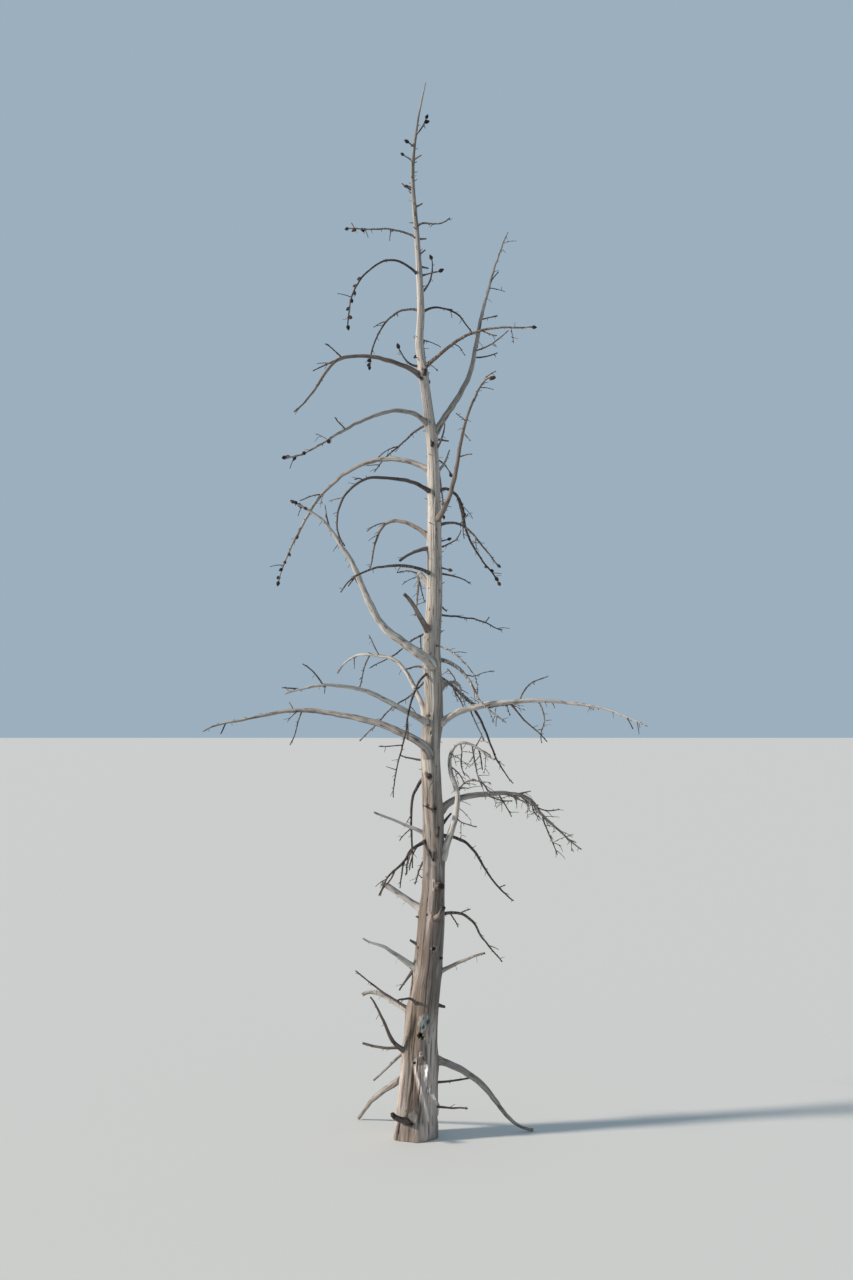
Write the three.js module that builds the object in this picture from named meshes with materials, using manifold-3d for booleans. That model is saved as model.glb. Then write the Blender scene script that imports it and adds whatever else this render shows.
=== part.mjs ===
// A dead standing pine with no bark: a slim leaning trunk, arching bare limbs, twigs and old cones.
// Millimetres, +Z up. The origin is the middle of the flat cut at ground level.
// In the front view +X is to the right and +Y points away.
import * as THREE from "three";
import { mergeVertices } from "three/addons/utils/BufferGeometryUtils.js";
import Module from "manifold-3d";

const wasm = await Module();
wasm.setup();

// Axes that the pieces share, and the space that grown pieces have taken
const axisX = new THREE.Vector3(1, 0, 0);
const axisY = new THREE.Vector3(0, 1, 0);
const axisZ = new THREE.Vector3(0, 0, 1);
const taken = [];

// Driving sizes of the trunk
const treeHeight = 4800;
const buttRadius = 67.5;
const tipRadius = 3;
const flareRadius = 22;
const flareHeight = 430;
const footSwell = { thick: 6, top: 1040, below: 90, above: 60 };
const rootLobes = { count: 5, share: 0.06, height: 260, turn: 0.6 };
const slowOval = { share: 0.035, turnHeight: 420 };
const trunkSides = 14;
const trunkRingSpacing = 120;

// Driving sizes of the limbs
const gap = 0.3;
const pathStep = 10;
const collar = { share: 0.3, reach: 22 };
const limbWander = 7;
const swayWaves = 5.5;
const swingReach = 160;
const rootDepth = { share: 0.7, most: 30 };
const boughSides = 6;
const stemSides = 4;
const twigSides = 3;
const boughRings = { spacing: 150, bend: 0.34 };
const stemRings = { spacing: 190, bend: 0.4 };
const twigRings = { spacing: 160, bend: 0.65 };
const thickStub = 20;
const middlingStub = 12;
const shortStub = 60;
const backStubs = { count: 8, lowest: 700, apart: 370, middle: 60, spread: 60, thick: 9, long: 26 };

// Driving sizes of the forks, twigs and cones
const forkTip = 5;
const thickFork = 10;
const forkWithTwigs = 140;
const forkTwigSize = 0.6;
const twigStart = 0.14;
const pastSplit = 0.04;
const twig = { spacing: 220, length: 82, thickness: 5, tip: 3, wander: 6, droop: 18 };
const twigTurn = { least: 35, spread: 50 };
const twigReach = { least: 0.45, spread: 0.75 };
const twigLift = { least: -55, spread: 90 };
const clearance = 3;
const clearOfTrunk = 1.12;
const clearOfGround = 12;
const cone = {
  length: 31, radius: 11.5, sides: 5, root: 2, base: 1.08, narrowing: 0.35, lean: 0.45, atEnd: 0.1,
};

// How far the trunk's middle stands from the foot: height, to the right, away
const lean = [
  [0, 0, 0], [300, 17, 3], [530, 30, 8], [760, 57, 12], [1080, 81, 10], [1300, 84, 4],
  [1600, 74, -4], [1740, 70, -6], [1950, 85, -4], [2190, 75, 0], [2420, 87, 6], [2690, 87, 10],
  [3040, 83, 8], [3190, 71, 4], [3430, 40, -2], [3585, 19, -4], [3740, 26, -6], [4060, 9, -4],
  [4370, -12, 0], [4600, 8, 5], [4800, 47, 8],
];

// Limbs. at: height where it leaves the trunk; bearing: 0 right, 90 away, 180 left, 270 near side;
// root: the bearing of its root, where that isn't its own; long: length;
// rise: angles above level at even steps along it; thick and tip: thickness at its ends;
// split: the share of its length that is bough, with the rest in its mass of twigs;
// cones: places along it;
// forks: place, turn from the limb, length, rise, thickness, cones at its end.
const limbs = [
  { name: "left_1", at: 4085, bearing: 145, long: 400, rise: [30, 20, 4, 14, 12], thick: 10, tip: 5,
    split: 0, cones: [0.74, 0.77, 0.87, 1], forks: [[0.9, -10, 35, [60], 5, 0]] },
  { name: "left_2", at: 3911, bearing: 210, long: 565, rise: [36, 16, -14, -37, -50, -66, -82, -88],
    thick: 11, tip: 6, split: 0, cones: [0.6, 0.66, 0.72, 0.79, 0.86, 0.93, 1], forks: [] },
  { name: "left_3", at: 3747, bearing: 140, long: 435, rise: [16, -2, -26, -46, -68, -86], thick: 11,
    tip: 6, split: 0, cones: [0.94, 0.97, 1], forks: [[0.45, 25, 70, [-10, -30], 6, 0]] },
  { name: "left_5", at: 3447, bearing: 203, long: 730, rise: [33, 16, 12, -1, -16, -55, -57, -50, -38],
    thick: 24, tip: 7, split: 0.42, cones: [], forks: [[0.53, -8, 135, [-22, -30], 9, 0],
    [0.52, 12, 105, [45, 20], 8, 0]] },
  { name: "left_6", at: 3227, bearing: 217, long: 825, rise: [42, 6, -16, -23, -29, -29, -31, -25, -8],
    thick: 22, tip: 6, split: 0.46, cones: [0.7, 0.88, 0.94, 0.97, 1],
    forks: [[0.56, 20, 90, [20, 35], 7, 0]] },
  { name: "left_7", at: 3222, bearing: 132, long: 410, rise: [-5, -30, -27, -40], thick: 11, tip: 5,
    split: 0, cones: [], forks: [[0.5, 30, 120, [-10, -40], 6, 0]] },
  { name: "left_8", at: 3016, bearing: 163, long: 1020,
    rise: [30, 17, 0, -17, -33, -42, -55, -58, -60, -66, -72], thick: 25, tip: 6, split: 0.42,
    cones: [0.86, 0.9, 0.94, 0.98, 1], forks: [[0.72, -25, 60, [-58], 7, 1],
    [0.55, 30, 110, [-5, -30], 7, 0]] },
  { name: "left_9", at: 2915, bearing: 216, long: 745, rise: [26, 8, 0, -5, -34, -62, -90, -135],
    thick: 19, tip: 6, split: 0.46, cones: [], forks: [[0.52, 35, 100, [10, -20], 6, 0]] },
  { name: "left_10", at: 2703, bearing: 134, long: 585, rise: [42, 27, 13, -3, -50, -77, -70],
    thick: 22, tip: 7, split: 0.5, cones: [], forks: [[0.55, 30, 110, [0, -40], 6, 0]] },
  { name: "left_12", at: 2540, bearing: 221, long: 540, rise: [22, 5, -6, -16, -28, -52], thick: 16,
    tip: 6, split: 0, cones: [], forks: [[0.8, 15, 60, [-45], 6, 0]] },
  { name: "left_14", at: 2268, bearing: 146, long: 350, rise: [-18, -22, -38, -28, -20, -30], thick: 9,
    tip: 5, split: 0, cones: [], forks: [[0.08, -60, 75, [-70, -95], 6, 0]] },
  { name: "left_15", at: 2126, root: 255, bearing: 190, long: 980,
    rise: [37, 34, 35, 57, 68, 66, 56, 55, 36, 22], thick: 46, tip: 8, split: 0.55,
    cones: [0.94, 0.955, 0.97, 0.985, 1], forks: [[0.8, -20, 110, [70, 85], 8, 0]] },
  { name: "left_16", at: 1896, bearing: 160, long: 615, rise: [80, 62, 63, 46, 6, 2, -32, -60],
    thick: 25, tip: 7, split: 0.55, cones: [], forks: [[0.68, -5, 170, [-60, -75, -70], 8, 0],
    [0.6, -8, 110, [55, 60], 6, 0]] },
  { name: "left_17", at: 1866, root: 224, bearing: 205, long: 720,
    rise: [22, 24, 25, 25, 23, 9, 6, -5, -14, -20], thick: 29, tip: 9, split: 0.55, cones: [],
    forks: [[0.76, 8, 135, [60, 45, 25], 8, 0], [0.9, -5, 80, [2, 5], 8, 0]] },
  { name: "left_18", at: 2055, bearing: 148, long: 465, rise: [-48, -40, -24, -36, -42, -36, -48],
    thick: 9, tip: 5, split: 0, cones: [], forks: [] },
  { name: "left_19", at: 1721, root: 258, bearing: 180, long: 1095,
    rise: [47, 28, 21, 12, 10, 4, -10, -12, -10, -28], thick: 38, tip: 7, split: 0.46, cones: [],
    forks: [[0.58, 5, 165, [-65, -78, -62], 7, 0], [0.62, 0, 40, [60], 7, 0],
    [0.9, -5, 55, [-65], 7, 0]] },
  { name: "left_20", at: 2085, bearing: 235, long: 620, rise: [-20, -52, -67, -82, -64, -63, -68, -92],
    thick: 11, tip: 5, split: 0, cones: [], forks: [[0.4, 40, 100, [-80, -75], 6, 0],
    [0.62, -35, 110, [-6, 4], 6, 0]] },
  { name: "left_22", at: 1612, bearing: 140, long: 440, rise: [-40, -60, -88, -93, -92, -92],
    thick: 15, tip: 6, split: 0, cones: [], forks: [[0.6, 60, 80, [-30, -60], 6, 0]] },
  { name: "left_24", at: 1327, bearing: 220, long: 360, rise: [-22, -20, -55, -26, -30, -64, -54],
    thick: 16, tip: 6, split: 0, cones: [], forks: [[0.42, -25, 120, [-75, -85], 9, 0],
    [0.6, -20, 130, [-70, -45, -75], 9, 0], [0.16, 20, 150, [-20, -70, -60], 9, 0],
    [0.3, 30, 90, [-60, -85], 7, 0], [0.1, -30, 120, [-45, -75, -80], 9, 0]] },
  { name: "left_32", at: 254, bearing: 134, long: 400, rise: [-29, -34, -35, -43, -50], thick: 34,
    tip: 16, split: 1, cones: [], forks: [] },
  { name: "right_1", at: 4133, bearing: 320, long: 195, rise: [24, -12, -18, -6, 8, 25], thick: 9,
    tip: 5, split: 0, cones: [], forks: [] },
  { name: "right_4", at: 3741, bearing: 34, long: 300, rise: [33, 8, -14, -44, -40], thick: 11, tip: 6,
    split: 0, cones: [], forks: [[0.4, 30, 80, [15, 0], 6, 0]] },
  { name: "right_5", at: 3487, bearing: 333, long: 560, rise: [31, 34, 23, 11, 1, -5, -2], thick: 18,
    tip: 6, split: 0, cones: [1], forks: [[0.58, -12, 95, [-30, -14], 7, 0]] },
  { name: "right_6", at: 3190, bearing: 20, long: 1025, rise: [58, 56, 62, 79, 79, 74, 73, 71, 65],
    thick: 30, tip: 5, split: 0.36, cones: [], forks: [[0.39, 15, 140, [2, 28], 8, 0],
    [0.42, -30, 180, [12, 30, 45], 8, 0], [0.56, 5, 90, [20, 15], 7, 0], [0.75, -60, 60, [40], 6, 0]] },
  { name: "right_9", at: 2787, bearing: 305, long: 770, rise: [32, 50, 71, 79, 69, 55, 40, -17],
    thick: 24, tip: 7, split: 0.4, cones: [0.965, 0.985, 1], forks: [[0.42, 20, 75, [8, 0], 7, 0],
    [0.56, 15, 60, [-40, -50], 7, 0], [0.88, 25, 80, [60, 10], 6, 0]] },
  { name: "right_10", at: 2915, bearing: 52, long: 680, rise: [30, -6, -44, -80, -47, -44, -37, -50],
    thick: 16, tip: 6, split: 0, cones: [0.84, 0.88, 0.95, 1],
    forks: [[0.24, 20, 240, [-15, -50, -75, -75], 9, 0], [0.26, 20, 130, [20, -35, -70], 7, 1]] },
  { name: "right_11", at: 2762, bearing: 345, long: 350, rise: [20, -12, -44, -51, -51, -48],
    thick: 12, tip: 6, split: 0, cones: [1], forks: [[0.25, 20, 60, [50], 6, 0]] },
  { name: "right_15", at: 2352, bearing: 50, long: 475, rise: [2, -2, -3, -10, -18, -2], thick: 10,
    tip: 5, split: 0, cones: [], forks: [[0.7, 15, 50, [35], 6, 0]] },
  { name: "right_16", at: 2210, bearing: 306, long: 415, rise: [-6, -16, -24, -32, -50, -100],
    thick: 8, tip: 5, split: 0, cones: [], forks: [] },
  { name: "right_17", at: 2146, bearing: 345, long: 430, rise: [-5, -28, -45, -63, -62, -45, -33, -38],
    thick: 18, tip: 7, split: 0, cones: [], forks: [[0.32, 30, 45, [-10], 7, 0]] },
  { name: "right_18", at: 2064, bearing: 30, long: 420, rise: [-24, -36, -44, -20, -5, 8, 13],
    thick: 16, tip: 8, split: 0, cones: [], forks: [[0.15, 35, 70, [-30, -45], 6, 0]] },
  { name: "right_19", at: 1865, bearing: 351, long: 960, rise: [36, 16, 6, 2, -5, -9, -22, -26],
    thick: 32, tip: 5, split: 0.13, cones: [],
    forks: [[0.17, 25, 395, [-56, -66, -69, -60, -45], 13, 0], [0.15, -30, 165, [-57, -60, -68], 8, 0],
    [0.33, -10, 250, [-45, -52, -35, -50], 9, 0], [0.39, 20, 185, [75, 55, 20, 20], 8, 0],
    [0.47, 12, 200, [-55, -75, -115, -72], 8, 0], [0.9, 30, 60, [-60], 6, 0]] },
  { name: "right_20", at: 1273, bearing: 335, long: 730,
    rise: [72, 69, 75, 86, 114, 100, 60, -12, -33, -27], thick: 32, tip: 8, split: 0.2, cones: [],
    forks: [[0.38, 25, 210, [75, 40, 0, -50, -75], 9, 0], [0.56, 20, 100, [-30, -70], 7, 0],
    [0.85, 15, 60, [60], 7, 0], [0.88, -25, 95, [-70, -80], 7, 0],
    [0.23, -10, 120, [-28, -18, 0], 7, 0], [0.74, 18, 150, [-80, -95, -60], 7, 0],
    [0.82, -8, 190, [-75, -80, -60], 7, 0]] },
  { name: "right_21", at: 1468, bearing: 26, long: 845, rise: [44, 10, 3, 1, -12, -57, -36, -43, -28],
    thick: 32, tip: 6, split: 0.26, cones: [], forks: [[0.48, -10, 70, [12], 12, 0],
    [0.5, 35, 130, [-30, -20], 9, 0], [0.68, -15, 200, [-80, -60, -75], 8, 0],
    [0.43, -40, 150, [-35, -20, -10], 8, 0], [0.29, 20, 190, [-22, -15, 5], 8, 0],
    [0.36, -12, 130, [-50, -65], 7, 0], [0.56, 25, 120, [-45, -65, -20], 7, 0],
    [0.62, -30, 110, [-30, 20], 6, 0]] },
  { name: "right_22", at: 1347, bearing: 30, long: 515, rise: [-2, -20, -50, -60, -49, -42, -31],
    thick: 16, tip: 6, split: 0, cones: [], forks: [[0.78, 20, 45, [10], 6, 0]] },
  { name: "right_24", at: 990, bearing: 35, long: 445, rise: [14, -10, -38, -62, -44, -44, -40],
    thick: 15, tip: 6, split: 0, cones: [], forks: [[0.22, 20, 75, [20, 0], 7, 0],
    [0.08, -40, 75, [-55, -65], 7, 0]] },
  { name: "right_26", at: 340, bearing: 9, long: 570, rise: [-14, -25, -35, -44, -56, -52, -34, -6],
    thick: 36, tip: 13, split: 1, cones: [], forks: [] },
  { name: "back_1", at: 3600, bearing: 83, long: 470, rise: [25, 10, -12, -35, -55], thick: 14, tip: 6,
    split: 0, cones: [0.92, 1], forks: [[0.5, 25, 110, [0, -25], 7, 1]] },
  { name: "back_2", at: 3060, bearing: 84, long: 760, rise: [38, 22, 4, -16, -38, -58, -70], thick: 24,
    tip: 6, split: 0.42, cones: [0.92, 0.96, 1], forks: [[0.52, -25, 160, [-10, -40], 8, 1],
    [0.6, 28, 130, [5, -25], 7, 0]] },
  { name: "back_3", at: 2440, bearing: 98, long: 820, rise: [30, 26, 14, 0, -18, -40, -52], thick: 30,
    tip: 7, split: 0.42, cones: [], forks: [[0.5, 28, 190, [20, -10], 9, 0],
    [0.66, -25, 150, [-30, -60], 8, 0]] },
  { name: "back_4", at: 1930, bearing: 82, long: 900, rise: [20, 22, 12, 2, -6, -14, -30], thick: 32,
    tip: 7, split: 0.42, cones: [], forks: [[0.48, -25, 200, [-35, -60], 9, 0],
    [0.62, 22, 170, [40, 10], 8, 0]] },
  { name: "back_5", at: 1180, bearing: 100, long: 560, rise: [24, 12, -12, -38, -50], thick: 20,
    tip: 7, split: 0, cones: [], forks: [[0.5, -22, 140, [-50, -70], 8, 0]] },
];

// Short broken limbs and stubs that stay part of the trunk: height, bearing, length, rise, thickness,
// end thickness and cones at the end
const stubs = [
 [4564, 20, 88, [45, 75], 7, 5, 2], [4504, 200, 26, [30], 6, 5, 1], [4439, 170, 44, [35], 7, 5, 1],
  [4441, -20, 36, [25], 7, 5, 0], [4299, 165, 56, [38], 7, 5, 0], [4312, 190, 14, [10], 7, 6, 1],
  [4221, -15, 30, [25], 8, 6, 0], [4073, 25, 34, [10], 8, 6, 0], [4003, -30, 28, [25], 8, 6, 0],
  [3943, 10, 30, [-10], 8, 6, 0], [3903, -8, 78, [12], 8, 5, 1],
  [3833, 15, 160, [48, 76, 103], 9, 5, 1], [3486, 188, 125, [2, 49, 72], 10, 6, 1],
  [3447, -80, 30, [30], 18, 12, 0], [3425, -115, 26, [10], 14, 10, 0], [3154, 20, 58, [-4], 10, 7, 0],
  [3113, -30, 115, [53, 85], 10, 6, 0], [3012, 30, 115, [47, 71], 12, 6, 0],
  [3122, -90, 24, [20], 14, 11, 0], [2660, 50, 200, [12, 16, 30, 70], 9, 5, 0],
  [2688, 15, 34, [15], 7, 5, 1], [2653, 200, 148, [-7, -26, -34], 17, 11, 0],
  [2541, 30, 165, [-6, -22], 9, 5, 0], [2565, -15, 34, [-15], 7, 5, 2], [2404, 60, 85, [-20], 10, 7, 0],
  [2284, 232, 225, [43, 40, 48, 32], 27, 15, 0], [2104, 142, 160, [34, -6, -12, 30], 9, 6, 0],
  [2050, 15, 30, [-25], 16, 13, 0], [1692, 152, 115, [2, 9, 16], 9, 6, 0],
  [1621, -100, 26, [10], 26, 20, 0], [1474, -84, 36, [10], 22, 15, 0], [1480, -112, 56, [14], 9, 3, 0],
  [1409, 8, 52, [50], 13, 9, 0], [1354, -71, 46, [58], 15, 11, 0],
  [1367, 190, 240, [23, 23, 25, 19, 26], 17, 9, 0], [1277, -92, 36, [-55], 14, 10, 0],
  [1129, -66, 32, [5], 32, 26, 0], [1022, 176, 203, [35, 34, 32], 29, 22, 0],
  [1035, 160, 185, [28, 30, 32], 8, 5, 0], [985, -168, 12, [10], 9, 7, 0],
  [988, -70, 115, [14, 46], 27, 19, 0], [865, 190, 30, [30], 12, 9, 0], [805, -38, 12, [0], 12, 9, 0],
  [760, 196, 275, [36, 37, 36, 28, 18, 30], 27, 7, 0], [743, 345, 220, [28, 27, 23, 15], 19, 9, 0],
  [748, 196, 110, [-50, -52, -58], 15, 7, 0], [608, 240, 160, [40, 8, 0], 13, 8, 0],
  [585, 10, 30, [-15], 14, 10, 0], [563, 165, 226, [27, 25, 28, 12, -30], 27, 17, 0],
  [572, 174, 285, [33, 31, 39, 36], 12, 6, 0], [392, 205, 308, [32, 44, 62, 66, 64, 62, 50], 22, 7, 0],
  [396, 168, 190, [-6, -2, 6, 14], 14, 11, 0], [372, 165, 192, [-44, -45], 14, 9, 0],
  [92, 238, 110, [20, 30], 27, 22, 0], [238, 15, 155, [3, 4], 11, 8, 0],
  [140, -12, 142, [0, -1], 10, 7, 0],
];

// Colours and finishes
const finishes = {
  trunk: { color: 0xb9ada0, roughness: 0.8, metalness: 0 },
  bough: { color: 0xa89d92, roughness: 0.82, metalness: 0 },
  twigs: { color: 0x6b5e57, roughness: 0.86, metalness: 0 },
};

// Even random numbers from 0 to 1 that repeat for the same seed
function randomFrom(seed) {
  let state = seed;
  return () => {
    state = (state * 1664525 + 1013904223) % 4294967296;
    return state / 4294967296;
  };
}

// A value read from a short list at a share of the way along it
function valueAlong(list, share) {
  const place = share * (list.length - 1);
  const from = Math.min(Math.floor(place), Math.max(list.length - 2, 0));
  const to = Math.min(from + 1, list.length - 1);
  return list[from] + (list[to] - list[from]) * (place - from);
}

// Smooth value of one column of the lean list at a height
function leanColumn(height, column) {
  const z = Math.min(Math.max(height, 0), treeHeight);
  let i = 0;
  while (i < lean.length - 2 && z > lean[i + 1][0]) i += 1;
  const slopeAt = (k) => {
    const before = lean[Math.max(k - 1, 0)];
    const after = lean[Math.min(k + 1, lean.length - 1)];
    return (after[column] - before[column]) / (after[0] - before[0]);
  };
  const width = lean[i + 1][0] - lean[i][0];
  const t = (z - lean[i][0]) / width;
  const rise = (3 - 2 * t) * t * t;
  const startPull = (t - 1) * (t - 1) * t * width * slopeAt(i);
  const endPull = (t - 1) * t * t * width * slopeAt(i + 1);
  return lean[i][column] * (1 - rise) + lean[i + 1][column] * rise + startPull + endPull;
}

function trunkMiddle(height) {
  return new THREE.Vector3(leanColumn(height, 1), leanColumn(height, 2), height);
}

// Even taper to the tip, a slight swell over the lowest metre and the flare of the root crown
function trunkRadius(height) {
  const taper = tipRadius + (buttRadius - tipRadius) * (1 - height / treeHeight);
  const flare = flareRadius * Math.exp(-Math.pow(height / flareHeight, 1.5));
  const { thick, top, below, above } = footSwell;
  return taper + flare + thick * (1 - THREE.MathUtils.smoothstep(height, top - below, top + above));
}

// Root lobes fade out above the foot, and a slow oval twists up the stem
function trunkRadiusAround(height, angle) {
  const { count, share, turn } = rootLobes;
  const lobes = share * Math.exp(-height / rootLobes.height) * Math.cos(count * angle + turn);
  const oval = slowOval.share * Math.cos(2 * angle + height / slowOval.turnHeight);
  return trunkRadius(height) * (1 + lobes + oval);
}

function directionOf(rise, bearing) {
  const up = THREE.MathUtils.degToRad(rise);
  const round = THREE.MathUtils.degToRad(bearing);
  return new THREE.Vector3(Math.cos(up) * Math.cos(round), Math.cos(up) * Math.sin(round), Math.sin(up));
}

// Fine points of a limb that follows its rise angles, swaying a little to either side
function growPath(start, bearing, long, rise, wander, phase, swing = 0) {
  const steps = Math.max(3, Math.round(long / pathStep));
  const points = [start.clone()];
  for (let i = 0; i < steps; i += 1) {
    const share = (i + 0.5) / steps;
    const nearRoot = Math.max(1 - (share * long) / swingReach, 0) ** 2;
    const heading = bearing + wander * Math.sin(phase + share * swayWaves) + swing * nearRoot;
    const direction = directionOf(valueAlong(rise, share), heading);
    points.push(points[i].clone().addScaledVector(direction, long / steps));
  }
  return points;
}

// Where a limb leaves the trunk's surface
function barkPoint(height, bearing) {
  const middle = trunkMiddle(height);
  return middle.addScaledVector(directionOf(0, bearing), trunkRadius(height));
}

// The point at a share of a path, and the path's direction there
function pointAlong(points, share) {
  const last = points.length - 1;
  const place = Math.min(share * last, last - 1e-6);
  const before = Math.floor(place);
  const at = points[before].clone().lerp(points[before + 1], place - before);
  return { at, share, along: points[before + 1].clone().sub(points[before]).normalize() };
}

// The part of a path between two shares of it, with a ring at each spacing and more where it bends
function ringsOf(points, from, to, { spacing, bend }) {
  const last = points.length - 1;
  const step = points[0].distanceTo(points[1]);
  const rings = [pointAlong(points, from)];
  let since = 0;
  for (let i = Math.floor(from * last) + 2; i < to * last - 1.5; i += 1) {
    const before = points[i].clone().sub(points[i - 1]);
    const after = points[i + 1].clone().sub(points[i]);
    since += step / spacing + before.angleTo(after) / bend;
    if (since < 1) continue;
    rings.push({ at: points[i].clone(), share: i / last, along: before.add(after).normalize() });
    since = 0;
  }
  rings.push(pointAlong(points, to));
  return rings;
}

// Sideways and over directions at each ring, carried along so that the tube doesn't twist
function framesAlong(rings) {
  const frames = [];
  let side = null;
  rings.forEach(({ along }) => {
    if (!side) side = new THREE.Vector3().crossVectors(along, Math.abs(along.z) > 0.9 ? axisX : axisZ);
    side.addScaledVector(along, -side.dot(along)).normalize();
    frames.push({ side: side.clone(), over: new THREE.Vector3().crossVectors(side, along) });
  });
  return frames;
}

// A three.js shape with its corners shared, so that it is one closed skin
function closedShape(geometry) {
  geometry.deleteAttribute("normal");
  geometry.deleteAttribute("uv");
  return mergeVertices(geometry, 1e-4);
}

function solidOf(shape) {
  const mesh = new wasm.Mesh({
    numProp: 3,
    vertProperties: new Float32Array(shape.getAttribute("position").array),
    triVerts: new Uint32Array(shape.index.array),
  });
  return new wasm.Manifold(mesh);
}

// A cylinder bent along rings, with its radius taken at each ring's share of the limb
function bentCylinder(rings, radiusAt, sides) {
  const last = rings.length - 1;
  const shape = closedShape(new THREE.CylinderGeometry(1, 1, last, sides, last));
  const frames = framesAlong(rings);
  const position = shape.getAttribute("position");
  for (let i = 0; i < position.count; i += 1) {
    const index = Math.round(position.getY(i) + last / 2);
    const radius = radiusAt(rings[index].share);
    const point = rings[index].at.clone();
    point.addScaledVector(frames[index].side, position.getX(i) * radius);
    point.addScaledVector(frames[index].over, position.getZ(i) * radius);
    position.setXYZ(i, point.x, point.y, point.z);
  }
  return solidOf(shape);
}

// The trunk's solid, from the flat cut to the tip, grown all over by an extra thickness
function trunkSolid(extra) {
  const rings = Math.round(treeHeight / trunkRingSpacing);
  const shape = closedShape(new THREE.CylinderGeometry(1, 1, rings, trunkSides, rings));
  const position = shape.getAttribute("position");
  for (let i = 0; i < position.count; i += 1) {
    const share = (position.getY(i) + rings / 2) / rings;
    const height = treeHeight * share;
    const across = position.getX(i);
    const near = position.getZ(i);
    const onSkin = Math.hypot(across, near) > 0;
    const radius = onSkin ? trunkRadiusAround(height, Math.atan2(-near, across)) + extra : 0;
    const middle = trunkMiddle(height);
    const over = share > 0.999 ? extra : share < 0.001 ? -extra : 0;
    position.setXYZ(i, middle.x + across * radius, middle.y - near * radius, height + over);
  }
  return solidOf(shape);
}

// A closed cone of scales: a sphere drawn out to a blunt point
function coneSolid(at, direction) {
  const shape = closedShape(new THREE.SphereGeometry(1, cone.sides, 2));
  const frame = new THREE.Quaternion().setFromUnitVectors(axisY, direction);
  const position = shape.getAttribute("position");
  for (let i = 0; i < position.count; i += 1) {
    const share = (position.getY(i) + 1) / 2;
    const wide = cone.radius * (cone.base - cone.narrowing * share);
    const along = share * cone.length - cone.root;
    const point = new THREE.Vector3(position.getX(i) * wide, along, position.getZ(i) * wide);
    point.applyQuaternion(frame).add(at);
    position.setXYZ(i, point.x, point.y, point.z);
  }
  return solidOf(shape);
}

// Nearest distance between two straight pieces
function pieceDistance(a, b, c, d) {
  const ab = b.clone().sub(a);
  const cd = d.clone().sub(c);
  const ca = a.clone().sub(c);
  const [e, f, g] = [ab.dot(ab), cd.dot(cd), ab.dot(cd)];
  const [h, k] = [ab.dot(ca), cd.dot(ca)];
  const spread = e * f - g * g;
  let s = spread > 1e-9 ? THREE.MathUtils.clamp((g * k - h * f) / spread, 0, 1) : 0;
  const t = THREE.MathUtils.clamp((g * s + k) / f, 0, 1);
  s = THREE.MathUtils.clamp((g * t - h) / e, 0, 1);
  return a.clone().addScaledVector(ab, s).distanceTo(c.clone().addScaledVector(cd, t));
}

// Notes down the space that a limb or twig takes
function take(rings, radiusAt, owner) {
  for (let i = 0; i < rings.length - 1; i += 1) {
    const radius = Math.max(radiusAt(rings[i].share), radiusAt(rings[i + 1].share));
    taken.push({ a: rings[i].at, b: rings[i + 1].at, radius, owner });
  }
}

// True where a twig keeps clear of the ground, the trunk and every other owner's limbs
function isClear(rings, radius, owner) {
  const apart = radius + clearance;
  for (let i = 0; i < rings.length - 1; i += 1) {
    const [a, b] = [rings[i].at, rings[i + 1].at];
    if (b.z < clearOfGround) return false;
    const middle = trunkMiddle(b.z);
    if (Math.hypot(b.x - middle.x, b.y - middle.y) < trunkRadius(b.z) * clearOfTrunk + apart) return false;
    const touching = taken.some((piece) =>
      piece.owner !== owner && pieceDistance(a, b, piece.a, piece.b) < piece.radius + apart);
    if (touching) return false;
  }
  return true;
}

// Thickness along a limb: even taper, with a collar where it leaves the trunk
function limbRadius(spec) {
  return (share) => {
    const taper = spec.thick + (spec.tip - spec.thick) * share;
    const swell = spec.thick * collar.share * Math.exp((-share * spec.long) / collar.reach);
    return (taper + swell) / 2;
  };
}

function rootBearing(spec) {
  return spec.root ?? spec.bearing;
}

// A limb may leave the trunk at a root's bearing and swing round to its own
function limbPoints(spec, phase) {
  const start = barkPoint(spec.at, rootBearing(spec));
  const swing = rootBearing(spec) - spec.bearing;
  return growPath(start, spec.bearing, spec.long, spec.rise, limbWander, phase, swing);
}

// The ring inside the trunk that a limb's root starts from
function rootRing(spec, points) {
  const depth = Math.min(trunkRadius(spec.at) * rootDepth.share, rootDepth.most);
  const along = points[1].clone().sub(points[0]).normalize();
  return { at: points[0].clone().addScaledVector(along, -depth), share: 0, along };
}

// Cones at a place on a stem: one runs on from a stem's end, and the rest stand out to the sides in turn
function addCones(solids, points, share, count, random, owner) {
  const last = points.length - 1;
  for (let i = 0; i < count; i += 1) {
    const place = Math.max(Math.round(share * last) - 2 * i, 1);
    const along = points[place].clone().sub(points[place - 1]).normalize();
    const out = directionOf(random() * 60 - 40, random() * 360);
    out.addScaledVector(along, -out.dot(along)).normalize();
    const sideways = out.multiplyScalar(place === last ? cone.atEnd : 1);
    const direction = along.multiplyScalar(cone.lean).add(sideways).normalize();
    const tip = points[place].clone().addScaledVector(direction, cone.length);
    if (!isClear([{ at: points[place] }, { at: tip }], cone.radius, owner)) continue;
    solids.push(coneSolid(points[place], direction));
    take([{ at: points[place], share: 0 }, { at: tip, share: 1 }], () => cone.radius, owner);
  }
}

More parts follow.
